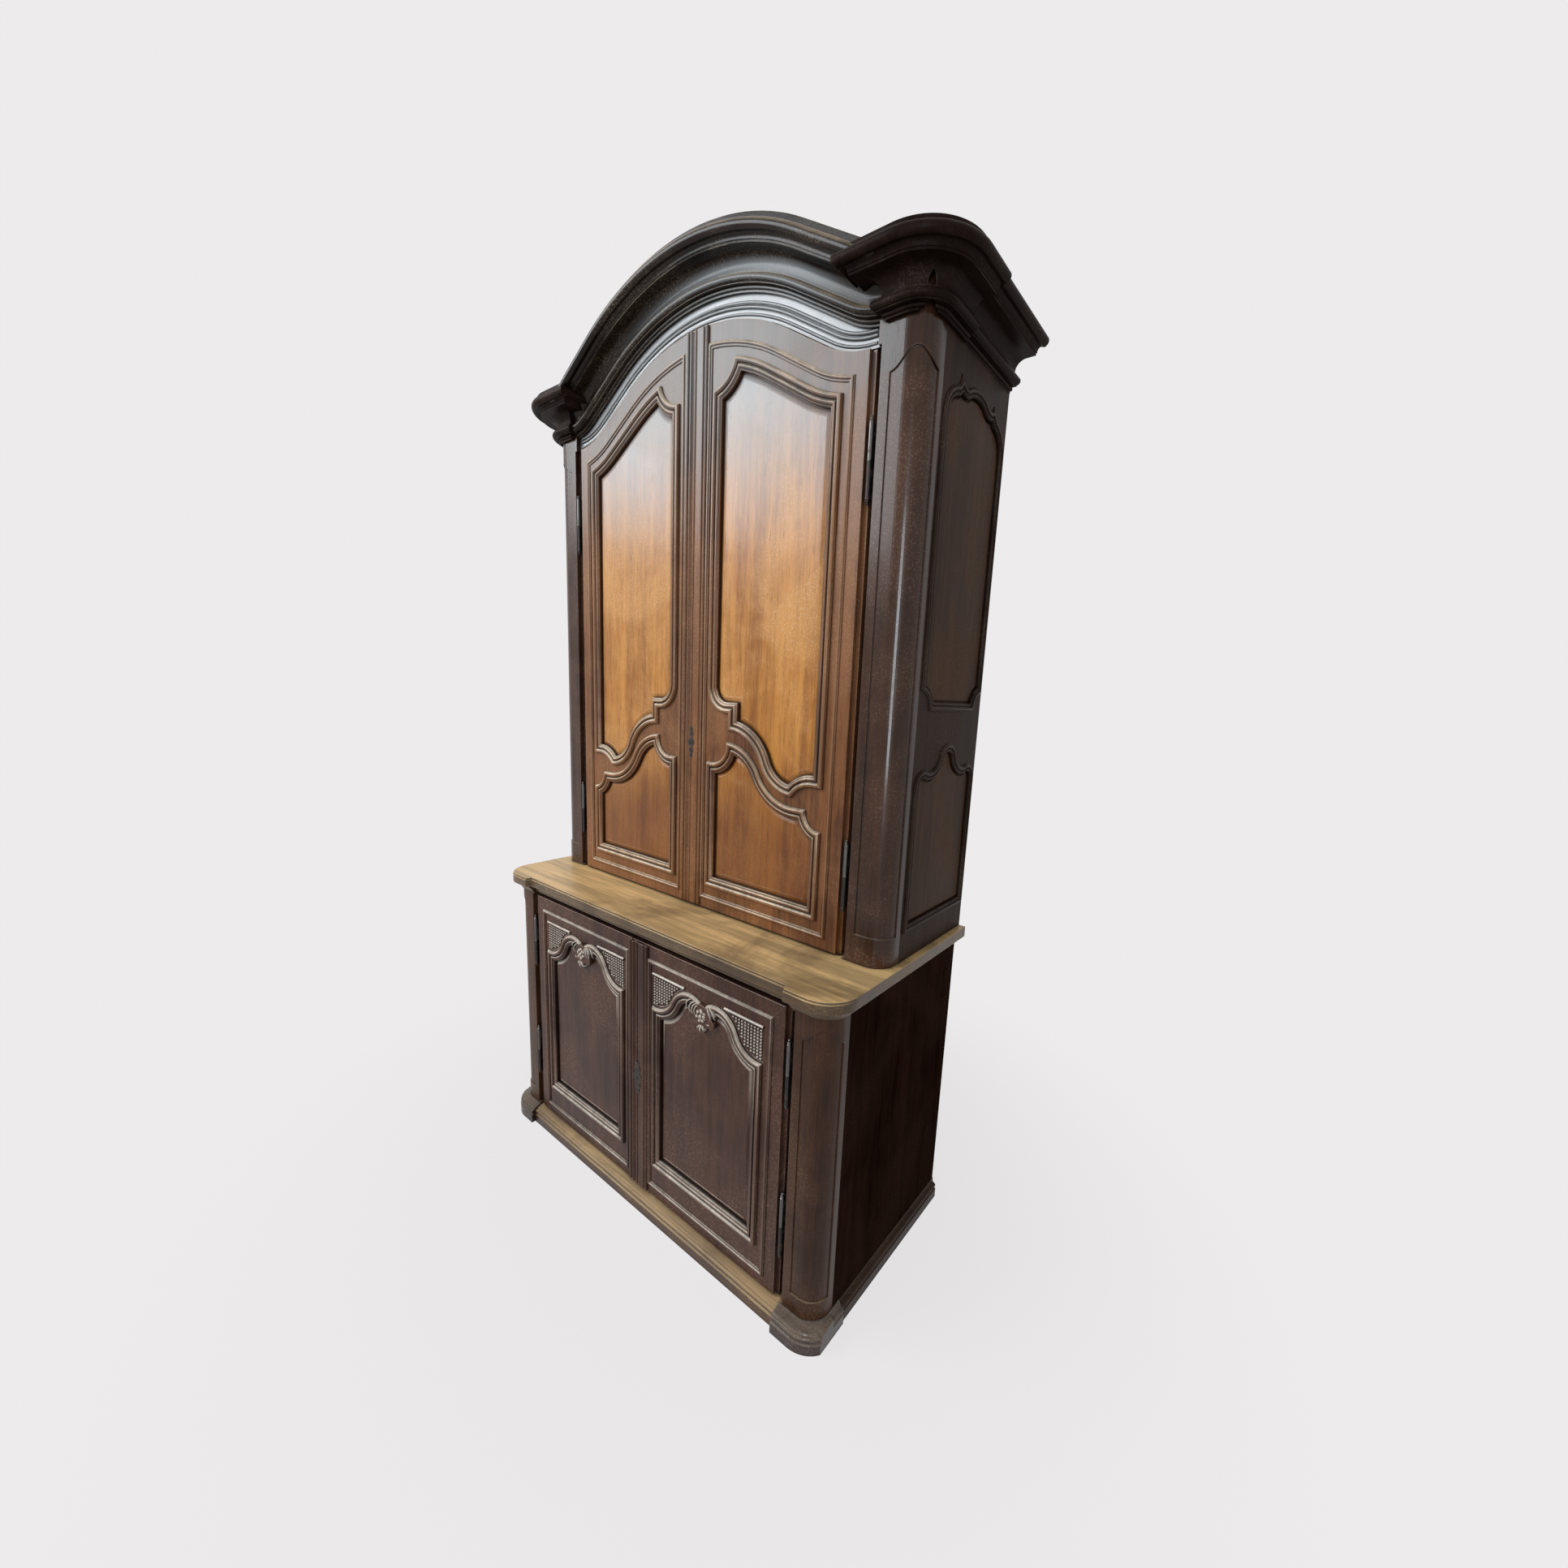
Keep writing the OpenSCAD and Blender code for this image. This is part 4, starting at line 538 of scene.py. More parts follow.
@dataclass(frozen=True)
class DoorShapes:
    """Outlines of the doors' arch and panels in millimetres, each a function of the distance moved inwards.

    A pair is a place across and up, each counted from the nearest edge or rail of its panel.
    """

    crest_z: float = 2518
    arch_r: float = 600
    hollow_r: float = 250
    slope: float = 31
    half: float = 560
    panel_in: float = 68
    panel_out: float = 484
    rail_z: float = 1390
    top_drop: float = 82
    ear_r: float = 80
    toe_r: float = 74
    toe_rise: float = 200
    step: float = 10
    tall_high: Pair = (6, 78)
    tall_low: Pair = (96, 77)
    heel: Pair = (34, 117)
    heel_r: float = 74
    foot_z: float = 1000
    short_high: Pair = (80, 46)
    short_low: Pair = (90, 103)
    shoulder_r: float = 56
    shoulder_drop: float = 6
    bite_r: float = 50
    bite_drop: float = 2
    crest_low: float = 778
    side_low: float = 685
    open_low: float = 168
    flat: float = 14
    valley_x: float = 51
    valley_r: float = 12
    bead_in: float = 45
    bead_out: float = 46
    upper_foot: float = 957
    lower_foot: float = 92
    lower_head: float = 821

    def arch(self, rise: float, inner: float, outer: float) -> Array:
        """Right half of the arch raised by rise: a round middle, a straight slope and a hollow end.

        Args:
            rise: distance from the doors' own arched edge.
            inner: where it starts.
            outer: where it ends, as far as the doors' hinge edge.

        Returns:
            The points from the middle outwards.
        """
        tilt = math.radians(self.slope)
        square, down = at(math.sin(tilt), math.cos(tilt)), at(math.cos(tilt), -math.sin(tilt))
        low = at(0, self.crest_z - self.arch_r)
        run = (self.half - (self.hollow_r + self.arch_r) * math.sin(tilt)) / math.cos(tilt)
        high = low + self.arch_r * square + run * down + self.hollow_r * square
        start = math.degrees(math.asin(inner / (self.arch_r + rise)))
        stop = math.degrees(math.asin(max(0, (self.half - outer) / (self.hollow_r - rise))))
        middle = arc_points(low, self.arch_r + rise, 90 - start, 90 - self.slope, 24)
        end = arc_points(high, self.hollow_r - rise, 270 - self.slope, 270 - stop, 18)
        return np.concatenate([middle, end])

    def whole_arch(self, rise: float, inwards: float) -> Array:
        """The arch from end to end, raised by rise and moved inwards."""
        half = self.arch(rise - inwards, 0, self.half)
        return np.concatenate([flipped(half), half[1:]])

    def tall(self, inwards: float) -> Array:
        """Tall panel of an upper door: arched head, hollow ear, round toe, step, ogee foot and heel.

        Args:
            inwards: distance moved inwards.

        Returns:
            The outline.
        """
        d, rail, left, right = inwards, self.rail_z, self.panel_in, self.panel_out
        middle, head_r = at(0, self.crest_z - self.arch_r), self.arch_r - self.top_drop
        ear, ear_r = at(left, middle[1] + leg(head_r, left)), self.ear_r + d
        toe, toe_r, step = at(left + self.toe_r, rail + self.toe_rise), self.toe_r - d, left + self.toe_r + self.step
        high = at(step + self.tall_high[0], rail + self.tall_high[1])
        upper, lower, ogee_r = ogee(high, at(right - self.tall_low[0], rail - self.tall_low[1]))
        heel, heel_r = at(right - self.heel[0], rail - self.heel[1]), self.heel_r + d
        heel_x = min(heel[0], right - d - SLIVER)
        start = at(step + d, upper[1] + leg(ogee_r + d, step + d - upper[0]))
        end = at(heel_x, heel[1] + leg(heel_r, heel_x - heel[0]))
        top = meet(middle, head_r - d, ear, ear_r, 1)
        parts = [
            chain(start, [(upper, ogee_r + d, -1), (lower, ogee_r - d, 1), (heel, heel_r, -1)], end),
            [[right - d, end[1]]],
            self.arch(-self.top_drop - d, top[0], right - d)[::-1],
            arc_between(ear, top, ear + [d, -leg(ear_r, d)], -1)[1:],
            arc_between(toe, toe - [toe_r, 0], toe - [0, toe_r], 1),
            [[step + d, toe[1] - toe_r]],
        ]
        return np.concatenate(parts)

    def short(self, inwards: float) -> Array:
        """Short panel of an upper door: straight foot, hollow corner, ogee head and round shoulder.

        Args:
            inwards: distance moved inwards.

        Returns:
            The outline.
        """
        d, rail, left, right, foot = inwards, self.rail_z, self.panel_in, self.panel_out, self.foot_z
        high = at(left + self.short_high[0], rail + self.short_high[1])
        low = at(right - self.short_low[0], rail - self.short_low[1])
        upper, lower, ogee_r = ogee(high, low)
        shoulder, shoulder_r = high - [self.shoulder_r, self.shoulder_drop], self.shoulder_r + d
        bite, bite_r, drop = at(right, low[1] - self.bite_drop), self.bite_r + d, self.bite_drop - d
        side = max(shoulder[0], left + d + SLIVER)
        end = at(side, shoulder[1] - leg(shoulder_r, side - shoulder[0]))
        parts = [
            [[left + d, foot + d], [right - d, foot + d]],
            arc_between(bite, bite - [d, leg(bite_r, d)], bite + [-leg(bite_r, drop), drop], -1),
            chain(low - [0, d], [(lower, ogee_r + d, -1), (upper, ogee_r - d, 1), (shoulder, shoulder_r, -1)], end),
            [[left + d, end[1]]],
        ]
        return np.concatenate(parts)

    def scroll(self, inwards: float) -> Array:
        """Panel of a lower door: straight sides under two crests with a small valley between them.

        Args:
            inwards: distance moved inwards.

        Returns:
            The outline.
        """
        d, left, right, foot = inwards, self.panel_in, self.panel_out, self.open_low + inwards
        centre, valley_r = (left + right) / 2, self.valley_r
        high, low = at(centre - self.valley_x, self.crest_low), at(left + self.flat, self.side_low)
        crest, hollow, radius = ogee(high, low)
        valley = crest + [self.valley_x, leg(radius + valley_r, self.valley_x)]
        start_x = max(hollow[0], left + d + SLIVER)
        start = at(start_x, hollow[1] - leg(radius + d, start_x - hollow[0]))
        circles = [(hollow, radius + d, 1, 20), (crest, radius - d, -1, 26), (valley, valley_r + d, 1, 10)]
        curve = chain(start, circles, valley - [0, valley_r + d])
        half = np.concatenate([[[left + d, start[1]]], curve])
        other = half * [-1, 1] + [2 * centre, 0]
        return np.concatenate([[[left + d, foot], [right - d, foot]], other, half[-2::-1]])

    def upper_bead(self, inwards: float) -> Array:
        """Framing bead of an upper door: straight foot and sides under the arch.

        Args:
            inwards: distance moved inwards.

        Returns:
            The outline.
        """
        left, right = self.bead_in + inwards, self.half - self.bead_out - inwards
        foot, head = self.upper_foot + inwards, self.arch(-self.bead_out - inwards, left, right)
        return np.concatenate([[[left, foot], [right, foot]], head[::-1]])

    def lower_bead(self, inwards: float) -> Array:
        """Framing bead of a lower door: an oblong.

        Args:
            inwards: distance moved inwards.

        Returns:
            The outline.
        """
        left, right = self.bead_in + inwards, self.half - self.bead_out - inwards
        foot, head = self.lower_foot + inwards, self.lower_head - inwards
        return np.array([[left, foot], [right, foot], [right, head], [left, head]])


SHAPES = DoorShapes()

# Sections as distance inwards, height over the face, and crest value of each point: towards 1 lighter with wear and
# painted highlight, towards -1 darker with painted shade and dirt
PANEL_SECTION = np.array(
    [(-0.6, -2, -1), (-0.5, 2.9, -0.8), (0.5, 3.6, -0.1), (1.2, 6.2, 0.2), (2.2, 8, 0.7), (3.7, 9.4, 1), (5.6, 10.2, 1),
     (7.5, 10.3, 0.9), (9.4, 9.9, 0.7), (10.9, 9, 0.5), (12.4, 7.6, 0.2), (13.5, 6, -0.2), (14.1, 4.2, -0.9),
     (14.8, 3.3, -1), (16.4, 3.2, -1), (17.5, 3.6, -1), (17.8, 5.6, -0.2), (18.9, 6.8, 0.6), (21, 7.4, 0.8),
     (23.1, 6.8, 0.6), (24.5, 5.5, 0.2), (25.6, 3.9, -0.8), (27, 3.2, -0.8), (29.4, 3.2, 0.4), (30.5, 2.4, 0.5),
     (31, -1, -0.7), (31.4, -7, -1), (31.4, -12, -1), (10, -12, -1), (-0.6, -12, -1)]
)
MARGIN_SECTION = np.array(
    [(30.2, -8.2, -1), (32, -8.5, -1), (34, -8.3, -0.8), (36, -7.5, -0.3), (45.4, -3.4, 0), (46.4, -3.3, 0.4),
     (47.2, -3.6, 0), (47.8, -4.6, -0.6), (47.8, -12, -1), (30.2, -12, -1)]
)
BEAD_SECTION = np.array(
    [(-0.5, -1, -0.6), (-0.4, 2.2, 0.2), (0.6, 2.8, 0.1), (2.2, 3.1, -0.7), (2.7, 4.6, -0.2), (3.6, 5.5, 0.6),
     (5.5, 6.1, 1), (7.6, 5.6, 0.8), (8.7, 4.6, 0.3), (9.3, 3.1, -0.7), (11, 2.8, -0.2), (13.4, 2.8, 0.1),
     (14.2, 2, 0.3), (14.4, -1, -0.6), (14.4, -4, -1), (-0.5, -4, -1)]
)
SIDE_SECTION = np.array(
    [(-0.5, -2, -0.8), (-0.4, 2.1, -0.5), (1.4, 2.4, -0.2), (2.6, 4.4, 0.1), (4.4, 6, 0.8), (6.4, 6.4, 1),
     (8.6, 5.9, 0.5), (10.2, 4.6, -0.3), (11.2, 2.8, -1), (13, 2.4, -1), (13.8, 3.6, -0.2), (15.8, 4.8, 0.6),
     (17.8, 4.4, 0.2), (18.6, 2.6, -0.6), (20.2, 2.2, 0.2), (20.4, -7, -1), (20.4, -9, -1), (-0.5, -9, -1)]
)
REED_SECTION = np.array(
    [(3.9, -1, -1), (3.7, 0.4, -1), (2.5, 0.8, -0.9), (1.5, 2.4, 0.5), (0, 3, 1), (-1.5, 2.4, 0.5), (-2.5, 0.8, -0.9),
     (-3.7, 0.4, -1), (-3.9, -1, -1), (0, -1.6, -1)]
)

# Leaves of the carved drop: start, bend and end of each rib from the boss, its half width and its height
LEAVES = (
    ((-20, 34), (-52, 24), (-40, -14), 4.6, 6),
    ((-14, 32), (-42, 20), (-28, -16), 4.2, 6.5),
    ((-10, 30), (-30, 16), (-20, -14), 3.6, 6),
    ((-30, 36), (-66, 30), (-56, -4), 3.8, 3),
    ((14, 32), (40, 24), (36, -6), 3.8, 6),
    ((20, 36), (54, 28), (48, 0), 3.4, 5),
    ((0, -20), (-6, -34), (-18, -40), 5, 6),
    ((2, -20), (2, -36), (-2, -48), 5.4, 7),
    ((4, -20), (12, -32), (16, -40), 5, 6),
    ((16, -12), (30, -20), (34, -8), 3.4, 4),
)


@dataclass(frozen=True)
class Surface:
    """Closed surface: vertices in metres, quads, and each vertex's crest value, towards 1 lighter with wear and painted
    highlight, towards -1 darker with painted shade and dirt.
    """

    points: Array
    faces: Array
    crest: Array


def outward(points: Array, faces: Array, crest: Array) -> Surface:
    """Surface turned outwards: the triple products of its corners add up to six times the volume enclosed.

    Args:
        points: vertices.
        faces: quads, all turned the same way.
        crest: the crest value of each vertex.

    Returns:
        The surface, its quads reversed where the volume is negative.
    """
    a, b, c, d = np.moveaxis(points[faces], 1, 0)
    volume = np.einsum("ij,ij->", a, np.cross(b, c)) + np.einsum("ij,ij->", a, np.cross(c, d))
    return Surface(points, faces if volume > 0 else faces[:, ::-1], crest)


def on_face(flat: Array, depth: Array, faces: Array, crest: Array) -> Surface:
    """Surface from places across and up and from the depth of each, all in millimetres, turned outwards."""
    points = np.stack([flat[..., 0], np.broadcast_to(depth, flat.shape[:-1]), flat[..., 1]], axis=-1)
    return outward(points.reshape(-1, 3) * MM, faces, crest)


def grid_faces(rows: int, columns: int, ring: bool) -> Array:
    """Quads of a grid whose rows close on themselves; its columns close too, or strips of quads cap both ends.

    Args:
        rows: number of points round the section.
        columns: number of sections along the way.
        ring: whether the last section joins the first.

    Returns:
        Vertex numbers, one quad a row; vertex (i, j) is number i times the columns plus j.
    """
    row, column = np.meshgrid(np.arange(rows), np.arange(columns if ring else columns - 1), indexing="ij")
    start, below, beside = row * columns, (row + 1) % rows * columns, (column + 1) % columns
    sides = np.stack([start + column, start + beside, below + beside, below + column], axis=-1).reshape(-1, 4)
    if ring:
        return sides
    strip = np.arange(rows // 2 - 1)
    cap = np.stack([strip, strip + 1, rows - 2 - strip, rows - 1 - strip], axis=-1) * columns
    return np.concatenate([sides, cap, cap[:, ::-1] + columns - 1])


def moulding(outline: Outline, section: Array, face_y: float, ring: bool = True) -> Surface:
    """Moulding along an outline: point (i, j) is point j of the outline moved inwards by section distance i.

    Args:
        outline: function from a distance inwards to points across and up.
        section: distance inwards, height and crest value of each point of the section, as a closed loop.
        face_y: the face's place across the depth, in millimetres.
        ring: whether the outline is closed.

    Returns:
        The surface.
    """
    across = np.stack([outline(float(distance)) for distance in section[:, 0]])
    crest = np.repeat(section[:, 2], across.shape[1])
    return on_face(across, face_y - section[:, 1, None], grid_faces(*across.shape[:2], ring), crest)


def rib(path: Array, half_width: Array, height: Array, face_y: float, around: int = 10) -> Surface:
    """Rounded rib on a face: at each point of its path an ellipse stands square to the path, half of it in the wood.

    Args:
        path: points across and up in millimetres.
        half_width: half the rib's width at each point.
        height: its height over the face at each point.
        face_y: the face's place across the depth.
        around: number of points round the ellipse.

    Returns:
        The surface.
    """
    along = np.gradient(path, axis=0)
    along /= np.linalg.norm(along, axis=1, keepdims=True)
    aside = half_width[:, None] * np.stack([-along[:, 1], along[:, 0]], axis=1)
    angle = ((np.arange(around) + 0.5) * (2 * math.pi / around))[:, None]
    rise = np.sin(angle) * np.where(np.sin(angle) > 0, height, np.minimum(height, 2))
    crest = np.repeat(np.clip(2.4 * np.sin(angle) - 1.3, -1, 1), len(path))
    return on_face(path + np.cos(angle)[..., None] * aside, face_y - rise, grid_faces(around, len(path), False), crest)


def studs(centres: Array, base: Pair, top: Pair, foot_y: float, rise: float) -> Surface:
    """Small blunt pyramids: the eight corners of one, moved to every centre at once.

    Args:
        centres: places across and up, one a row.
        base: half width and half height of their foot.
        top: half width and half height of their top.
        foot_y: place of their foot across the depth.
        rise: their height.

    Returns:
        The surface.
    """
    sign = np.array([(-1, -1), (1, -1), (1, 1), (-1, 1)], dtype=float)
    flat = np.concatenate([sign * base, sign * top]) + centres[:, None]
    cell = np.array([(4, 5, 6, 7), (3, 2, 1, 0), (0, 1, 5, 4), (1, 2, 6, 5), (2, 3, 7, 6), (3, 0, 4, 7)])
    faces = (cell + 8 * np.arange(len(centres))[:, None, None]).reshape(-1, 4)
    high = np.repeat([0, 1], 4)
    return on_face(flat, foot_y - rise * high, faces, np.tile(2 * high - 1, len(centres)))


def within(places: Array, outline: Array) -> Array:
    """Whether places lie inside an outline: a level line from each crosses it an odd number of times.

    Args:
        places: points, one a row.
        outline: corners of the closed outline.

    Returns:
        True for those inside.
    """
    (x0, z0), (x1, z1) = outline.T, np.roll(outline, -1, axis=0).T
    x, z = places[:, :1], places[:, 1:]
    cross = x0 + (z - z0) / np.where(z1 == z0, 1, z1 - z0) * (x1 - x0)
    return np.sum(((z0 > z) != (z1 > z)) & (x < cross), axis=1) % 2 == 1


def joined(parts: list[Surface]) -> Surface:
    """Several surfaces as one, the face numbers of each moved past the points before it.

    Args:
        parts: the surfaces.

    Returns:
        The whole.
    """
    starts = np.cumsum([0] + [len(part.points) for part in parts[:-1]])
    faces = np.concatenate([part.faces + start for part, start in zip(parts, starts)])
    points, crest = (np.concatenate([getattr(part, name) for part in parts]) for name in ("points", "crest"))
    return Surface(points, faces, crest)


def mirrored(surface: Surface) -> Surface:
    """The surface turned about the middle plane, its faces outwards again."""
    return Surface(surface.points * [-1, 1, 1], surface.faces[:, ::-1], surface.crest)


def new_object(name: str, data: bpy.types.ID) -> bpy.types.Object:
    """Puts data into the scene.

    Args:
        name: the object's name.
        data: its mesh, lamp or camera.

    Returns:
        The object.
    """
    item = bpy.data.objects.new(name, data)
    bpy.context.scene.collection.objects.link(item)
    return item


def new_piece(name: str, surface: Surface, material: Material, body: str, smooth: bool = True) -> None:
    """Puts a surface into a mesh with its crest values as an attribute, and hangs it on a body.

    Args:
        name: the piece's name.
        surface: its vertices, faces and crest values.
        material: its finish.
        body: the CAD body it rides on.
        smooth: whether its faces are shaded round.
    """
    mesh = bpy.data.meshes.new(name)
    mesh.from_pydata(surface.points.tolist(), [], surface.faces.tolist())
    mesh.polygons.foreach_set("use_smooth", np.full(len(surface.faces), smooth))
    mesh.materials.append(material)
    crest = mesh.attributes.new("crest", "FLOAT", "POINT")
    crest.data.foreach_set("value", surface.crest.astype(np.float32))
    mesh.set_sharp_from_angle(angle=math.radians(SHARP))
    mesh.update()
    piece = new_object(name, mesh)
    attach(piece, body)
    LOG.info("%s made with %d faces", name, len(surface.faces))


@dataclass(frozen=True)
class SideShapes:
    """Outlines of the side's panels in millimetres from the side's middle, each a function of the distance inwards.

    An arc is its centre across, its centre over the crest, its radius and its kind, 1 round or -1 hollow.
    """

    half: float = 174
    tall_crest: float = 2299
    tall_foot: float = 1554
    tall_bite: float = 46
    tall_arcs: tuple = ((0, -120, 120, 1), (70, 9, 28, -1), (130, 0, 34, -1), (96, -105, 78, 1))
    short_crest: float = 1470
    short_foot: float = 1000
    short_arcs: tuple = ((0, -54, 54, 1), (98, -8, 58, -1), (130, -104, 44, 1))

    def _whole(self, arcs: tuple, crest: float, foot: float, bite: float, inwards: float) -> Array:
        """Head of arcs that meet at cusps or run on, over a foot whose corners may be hollowed.

        Args:
            arcs: the arcs from the middle to the side.
            crest: height of the crest.
            foot: height of the foot.
            bite: radius of the hollowed corners.
            inwards: distance moved inwards.

        Returns:
            The outline.
        """
        d = inwards
        circles = [(at(x, crest + z), radius - kind * d, -kind) for x, z, radius, kind in arcs]
        (first, first_r, _), (last, last_r, _) = circles[0], circles[-1]
        head = chain(first + [0, first_r], circles, last + [last_r, 0])
        corner = np.array([[self.half - d, foot + d]])
        if bite > 0:
            reach = leg(bite + d, d)
            corner = arc_between([self.half, foot], [self.half - reach, foot + d], [self.half - d, foot + reach], -1)
        half = np.concatenate([corner, head[::-1]])
        return np.concatenate([half, flipped(half)[1:]])

    def tall(self, inwards: float) -> Array:
        """Tall panel: a middle round, a cusped dip, a hollow and a shoulder over hollowed corners."""
        return self._whole(self.tall_arcs, self.tall_crest, self.tall_foot, self.tall_bite, inwards)

    def short(self, inwards: float) -> Array:
        """Low panel: a middle round, a hollow and a shoulder."""
        return self._whole(self.short_arcs, self.short_crest, self.short_foot, 0, inwards)


SIDES = SideShapes()

BARE_INSIDE = OakFinish(
    "bare_inside", (140, 80, 40), (280, 180, 100), (340, 240, 150), (450, 340, 220), Grain.ACROSS,
    polish=0.6, wear=0.3, wax=0,
)


@dataclass
class LowerBody(SubAssembly):
    """Deep lower body: base moulding, rounded posts, plain sides, floor, shelf and thick top."""

    TABLE = {
        "base": "plinth_front",
        "feet": "front_foot_*",
        "base_sides": "plinth_sides",
        "posts": "lower_corner_post_* lower_front_rails",
        "sides": "lower_side_* lower_rear_posts",
        "top": "countertop countertop_cove",
        "inside": "lower_bottom_boards lower_shelf shelf_cleats",
    }

    # golden painted highlight on faces that look up
    base: OakFinish = OakFinish(
        "golden_worn_base", (35, 16, 8), (95, 46, 20), (140, 75, 40), (500, 340, 200),
        Grain.ACROSS, wear=0.8, sheen=0.3, painted_top_highlight_share=0.75, painted_top_highlight=(600, 400, 190),
    )
    # painted highlight on faces that look up
    feet: OakFinish = OakFinish(
        "dark_feet", (18, 9, 6), (46, 27, 20), (75, 48, 38), (420, 340, 280),
        Grain.ACROSS, polish=0.22, wear=0.9, sheen=0.3, painted_top_highlight_share=0.3, painted_top_highlight=(400, 300, 200),
    )
    # darker than the plinth front: its own tone darkened as painted shade on a side turned from the lamps
    base_sides: OakFinish = OakFinish(
        "dark_base_sides", (20, 10, 6), (50, 24, 14), (70, 40, 24), (200, 140, 90),
        Grain.DEEP, sheen=0.05,
    )
    # painted highlight on faces that look up
    posts: OakFinish = OakFinish(
        "brown_posts", (22, 8, 4), (66, 26, 11), (100, 44, 20), (300, 180, 110),
        polish=0.26, sheen=0.15, painted_top_highlight_share=0.4,
    )
    # darker than the posts: their own tone darkened as painted shade on sides turned from the lamps
    sides: OakFinish = OakFinish(
        "dark_shaded_lower_sides", (14, 6, 4), (36, 16, 10), (52, 26, 17), (80, 55, 40),
        polish=0.5, wear=0.3, wax=0, sheen=0,
    )
    # golden painted highlight on the top faces
    top: OakFinish = OakFinish(
        "olive_worn_top", (35, 18, 7), (100, 54, 20), (150, 90, 40), (700, 520, 320),
        Grain.ACROSS, polish=0.3, wear=0.9, sheen=0.4, patches=0.7, painted_top_highlight_share=0.95, painted_top_highlight=(1000, 670, 300),
    )
    inside: OakFinish = BARE_INSIDE


@dataclass
class UpperBody(SubAssembly):
    """Set-back upper body: tall rounded posts, panelled sides, arched board and cornice."""

    TABLE = {
        "posts": "upper_corner_post_*",
        "sides": "upper_side_frame_* upper_rear_posts",
        "side_panels": "upper_side_panels_*",
        "board": "arch_board",
        "cornice": "cornice_front",
        "returns": "cornice_*",
        "boards": "upper_back_boards lower_back_boards upper_top_boards",
        "inside": "upper_bottom_boards upper_shelves",
    }

    # painted highlight on faces that look up
    posts: OakFinish = OakFinish(
        "tall_posts", (14, 5, 2), (48, 18, 7), (88, 37, 18), (300, 200, 150),
        polish=0.2, wear=0.15, wax=0.2, sheen=0.22, painted_top_highlight_share=0.3,
    )
    sides: OakFinish = OakFinish(
        "black_brown_sides", (14, 7, 4), (40, 22, 14), (60, 36, 26), (200, 150, 120),
        polish=0.4, wear=0.6, wax=0, sheen=0.05,
    )
    # faint painted sheen near the top
    side_panels: OakFinish = OakFinish(
        "umber_side_panels", (26, 10, 4), (80, 36, 15), (115, 56, 26), (200, 150, 120),
        polish=0.35, wax=0, sheen=0.05, painted_sheen=0.06,
    )
    # pale bluish painted sheen near the top, standing in for the window's reflection
    board: OakFinish = OakFinish(
        "pale_arched_board", (50, 35, 25), (130, 100, 80), (180, 150, 130), (700, 700, 660),
        Grain.ACROSS, polish=0.24, sheen=0.6,
        painted_sheen=0.68, painted_sheen_from=2.15, painted_sheen_to=2.45, painted_sheen_tint=(440, 480, 495),
    )
    # painted highlight on faces that look up, and a pale painted sheen across the middle of the hollow, standing in for
    # the window's reflection
    cornice: OakFinish = OakFinish(
        "cornice_front_oak", (6, 3.5, 2), (18, 10.5, 7), (40, 25, 16), (550, 460, 350),
        Grain.ACROSS, polish=0.2, wear=1, sheen=0.15, painted_top_highlight_share=0.6, painted_top_highlight=(360, 270, 170),
        painted_sheen=0.7, painted_sheen_axis=Axis.DEPTH, painted_sheen_from=-0.15, painted_sheen_to=-0.112,
        painted_sheen_side=(-0.45, 0.1, 0.3, 0.56), painted_sheen_tint=(250, 270, 275),
    )
    returns: OakFinish = OakFinish(
        "dark_cornice_returns", (8, 4, 3), (22, 12, 9), (36, 21, 16), (240, 190, 150),
        Grain.DEEP, polish=0.4, wear=0.8, wax=0, sheen=0.05,
    )
    boards: OakFinish = OakFinish(
        "rough_back_boards", (110, 70, 40), (240, 160, 100), (300, 220, 140), (400, 300, 200),
        polish=0.65, wear=0.3, wax=0,
    )
    inside: OakFinish = BARE_INSIDE
    side_x: float = 692
    side_mid: float = 151
    board_y: float = -93
    reeds: tuple[float, ...] = (13, 29, 39)

    def mouldings(self, shop: FinishShop) -> None:
        """Lays the rounded mouldings round the side panels and the reeds along the arched board.

        Args:
            shop: maker of the materials.
        """
        flat = joined([moulding(shape, SIDE_SECTION, 0) for shape in (SIDES.tall, SIDES.short)])
        across, out, up = flat.points.T
        points = np.stack([self.side_x * MM - out, self.side_mid * MM + across, up], axis=1)
        right = outward(points, flat.faces, flat.crest)
        new_piece("upper_right_side_mouldings", right, shop.material(self.sides), "cabinet")
        new_piece("upper_left_side_mouldings", mirrored(right), shop.material(self.sides), "cabinet")
        lines = [partial(SHAPES.whole_arch, rise) for rise in self.reeds]
        reeds = joined([moulding(line, REED_SECTION, self.board_y, ring=False) for line in lines])
        new_piece("arched_board_reeds", reeds, shop.material(self.board), "cabinet")


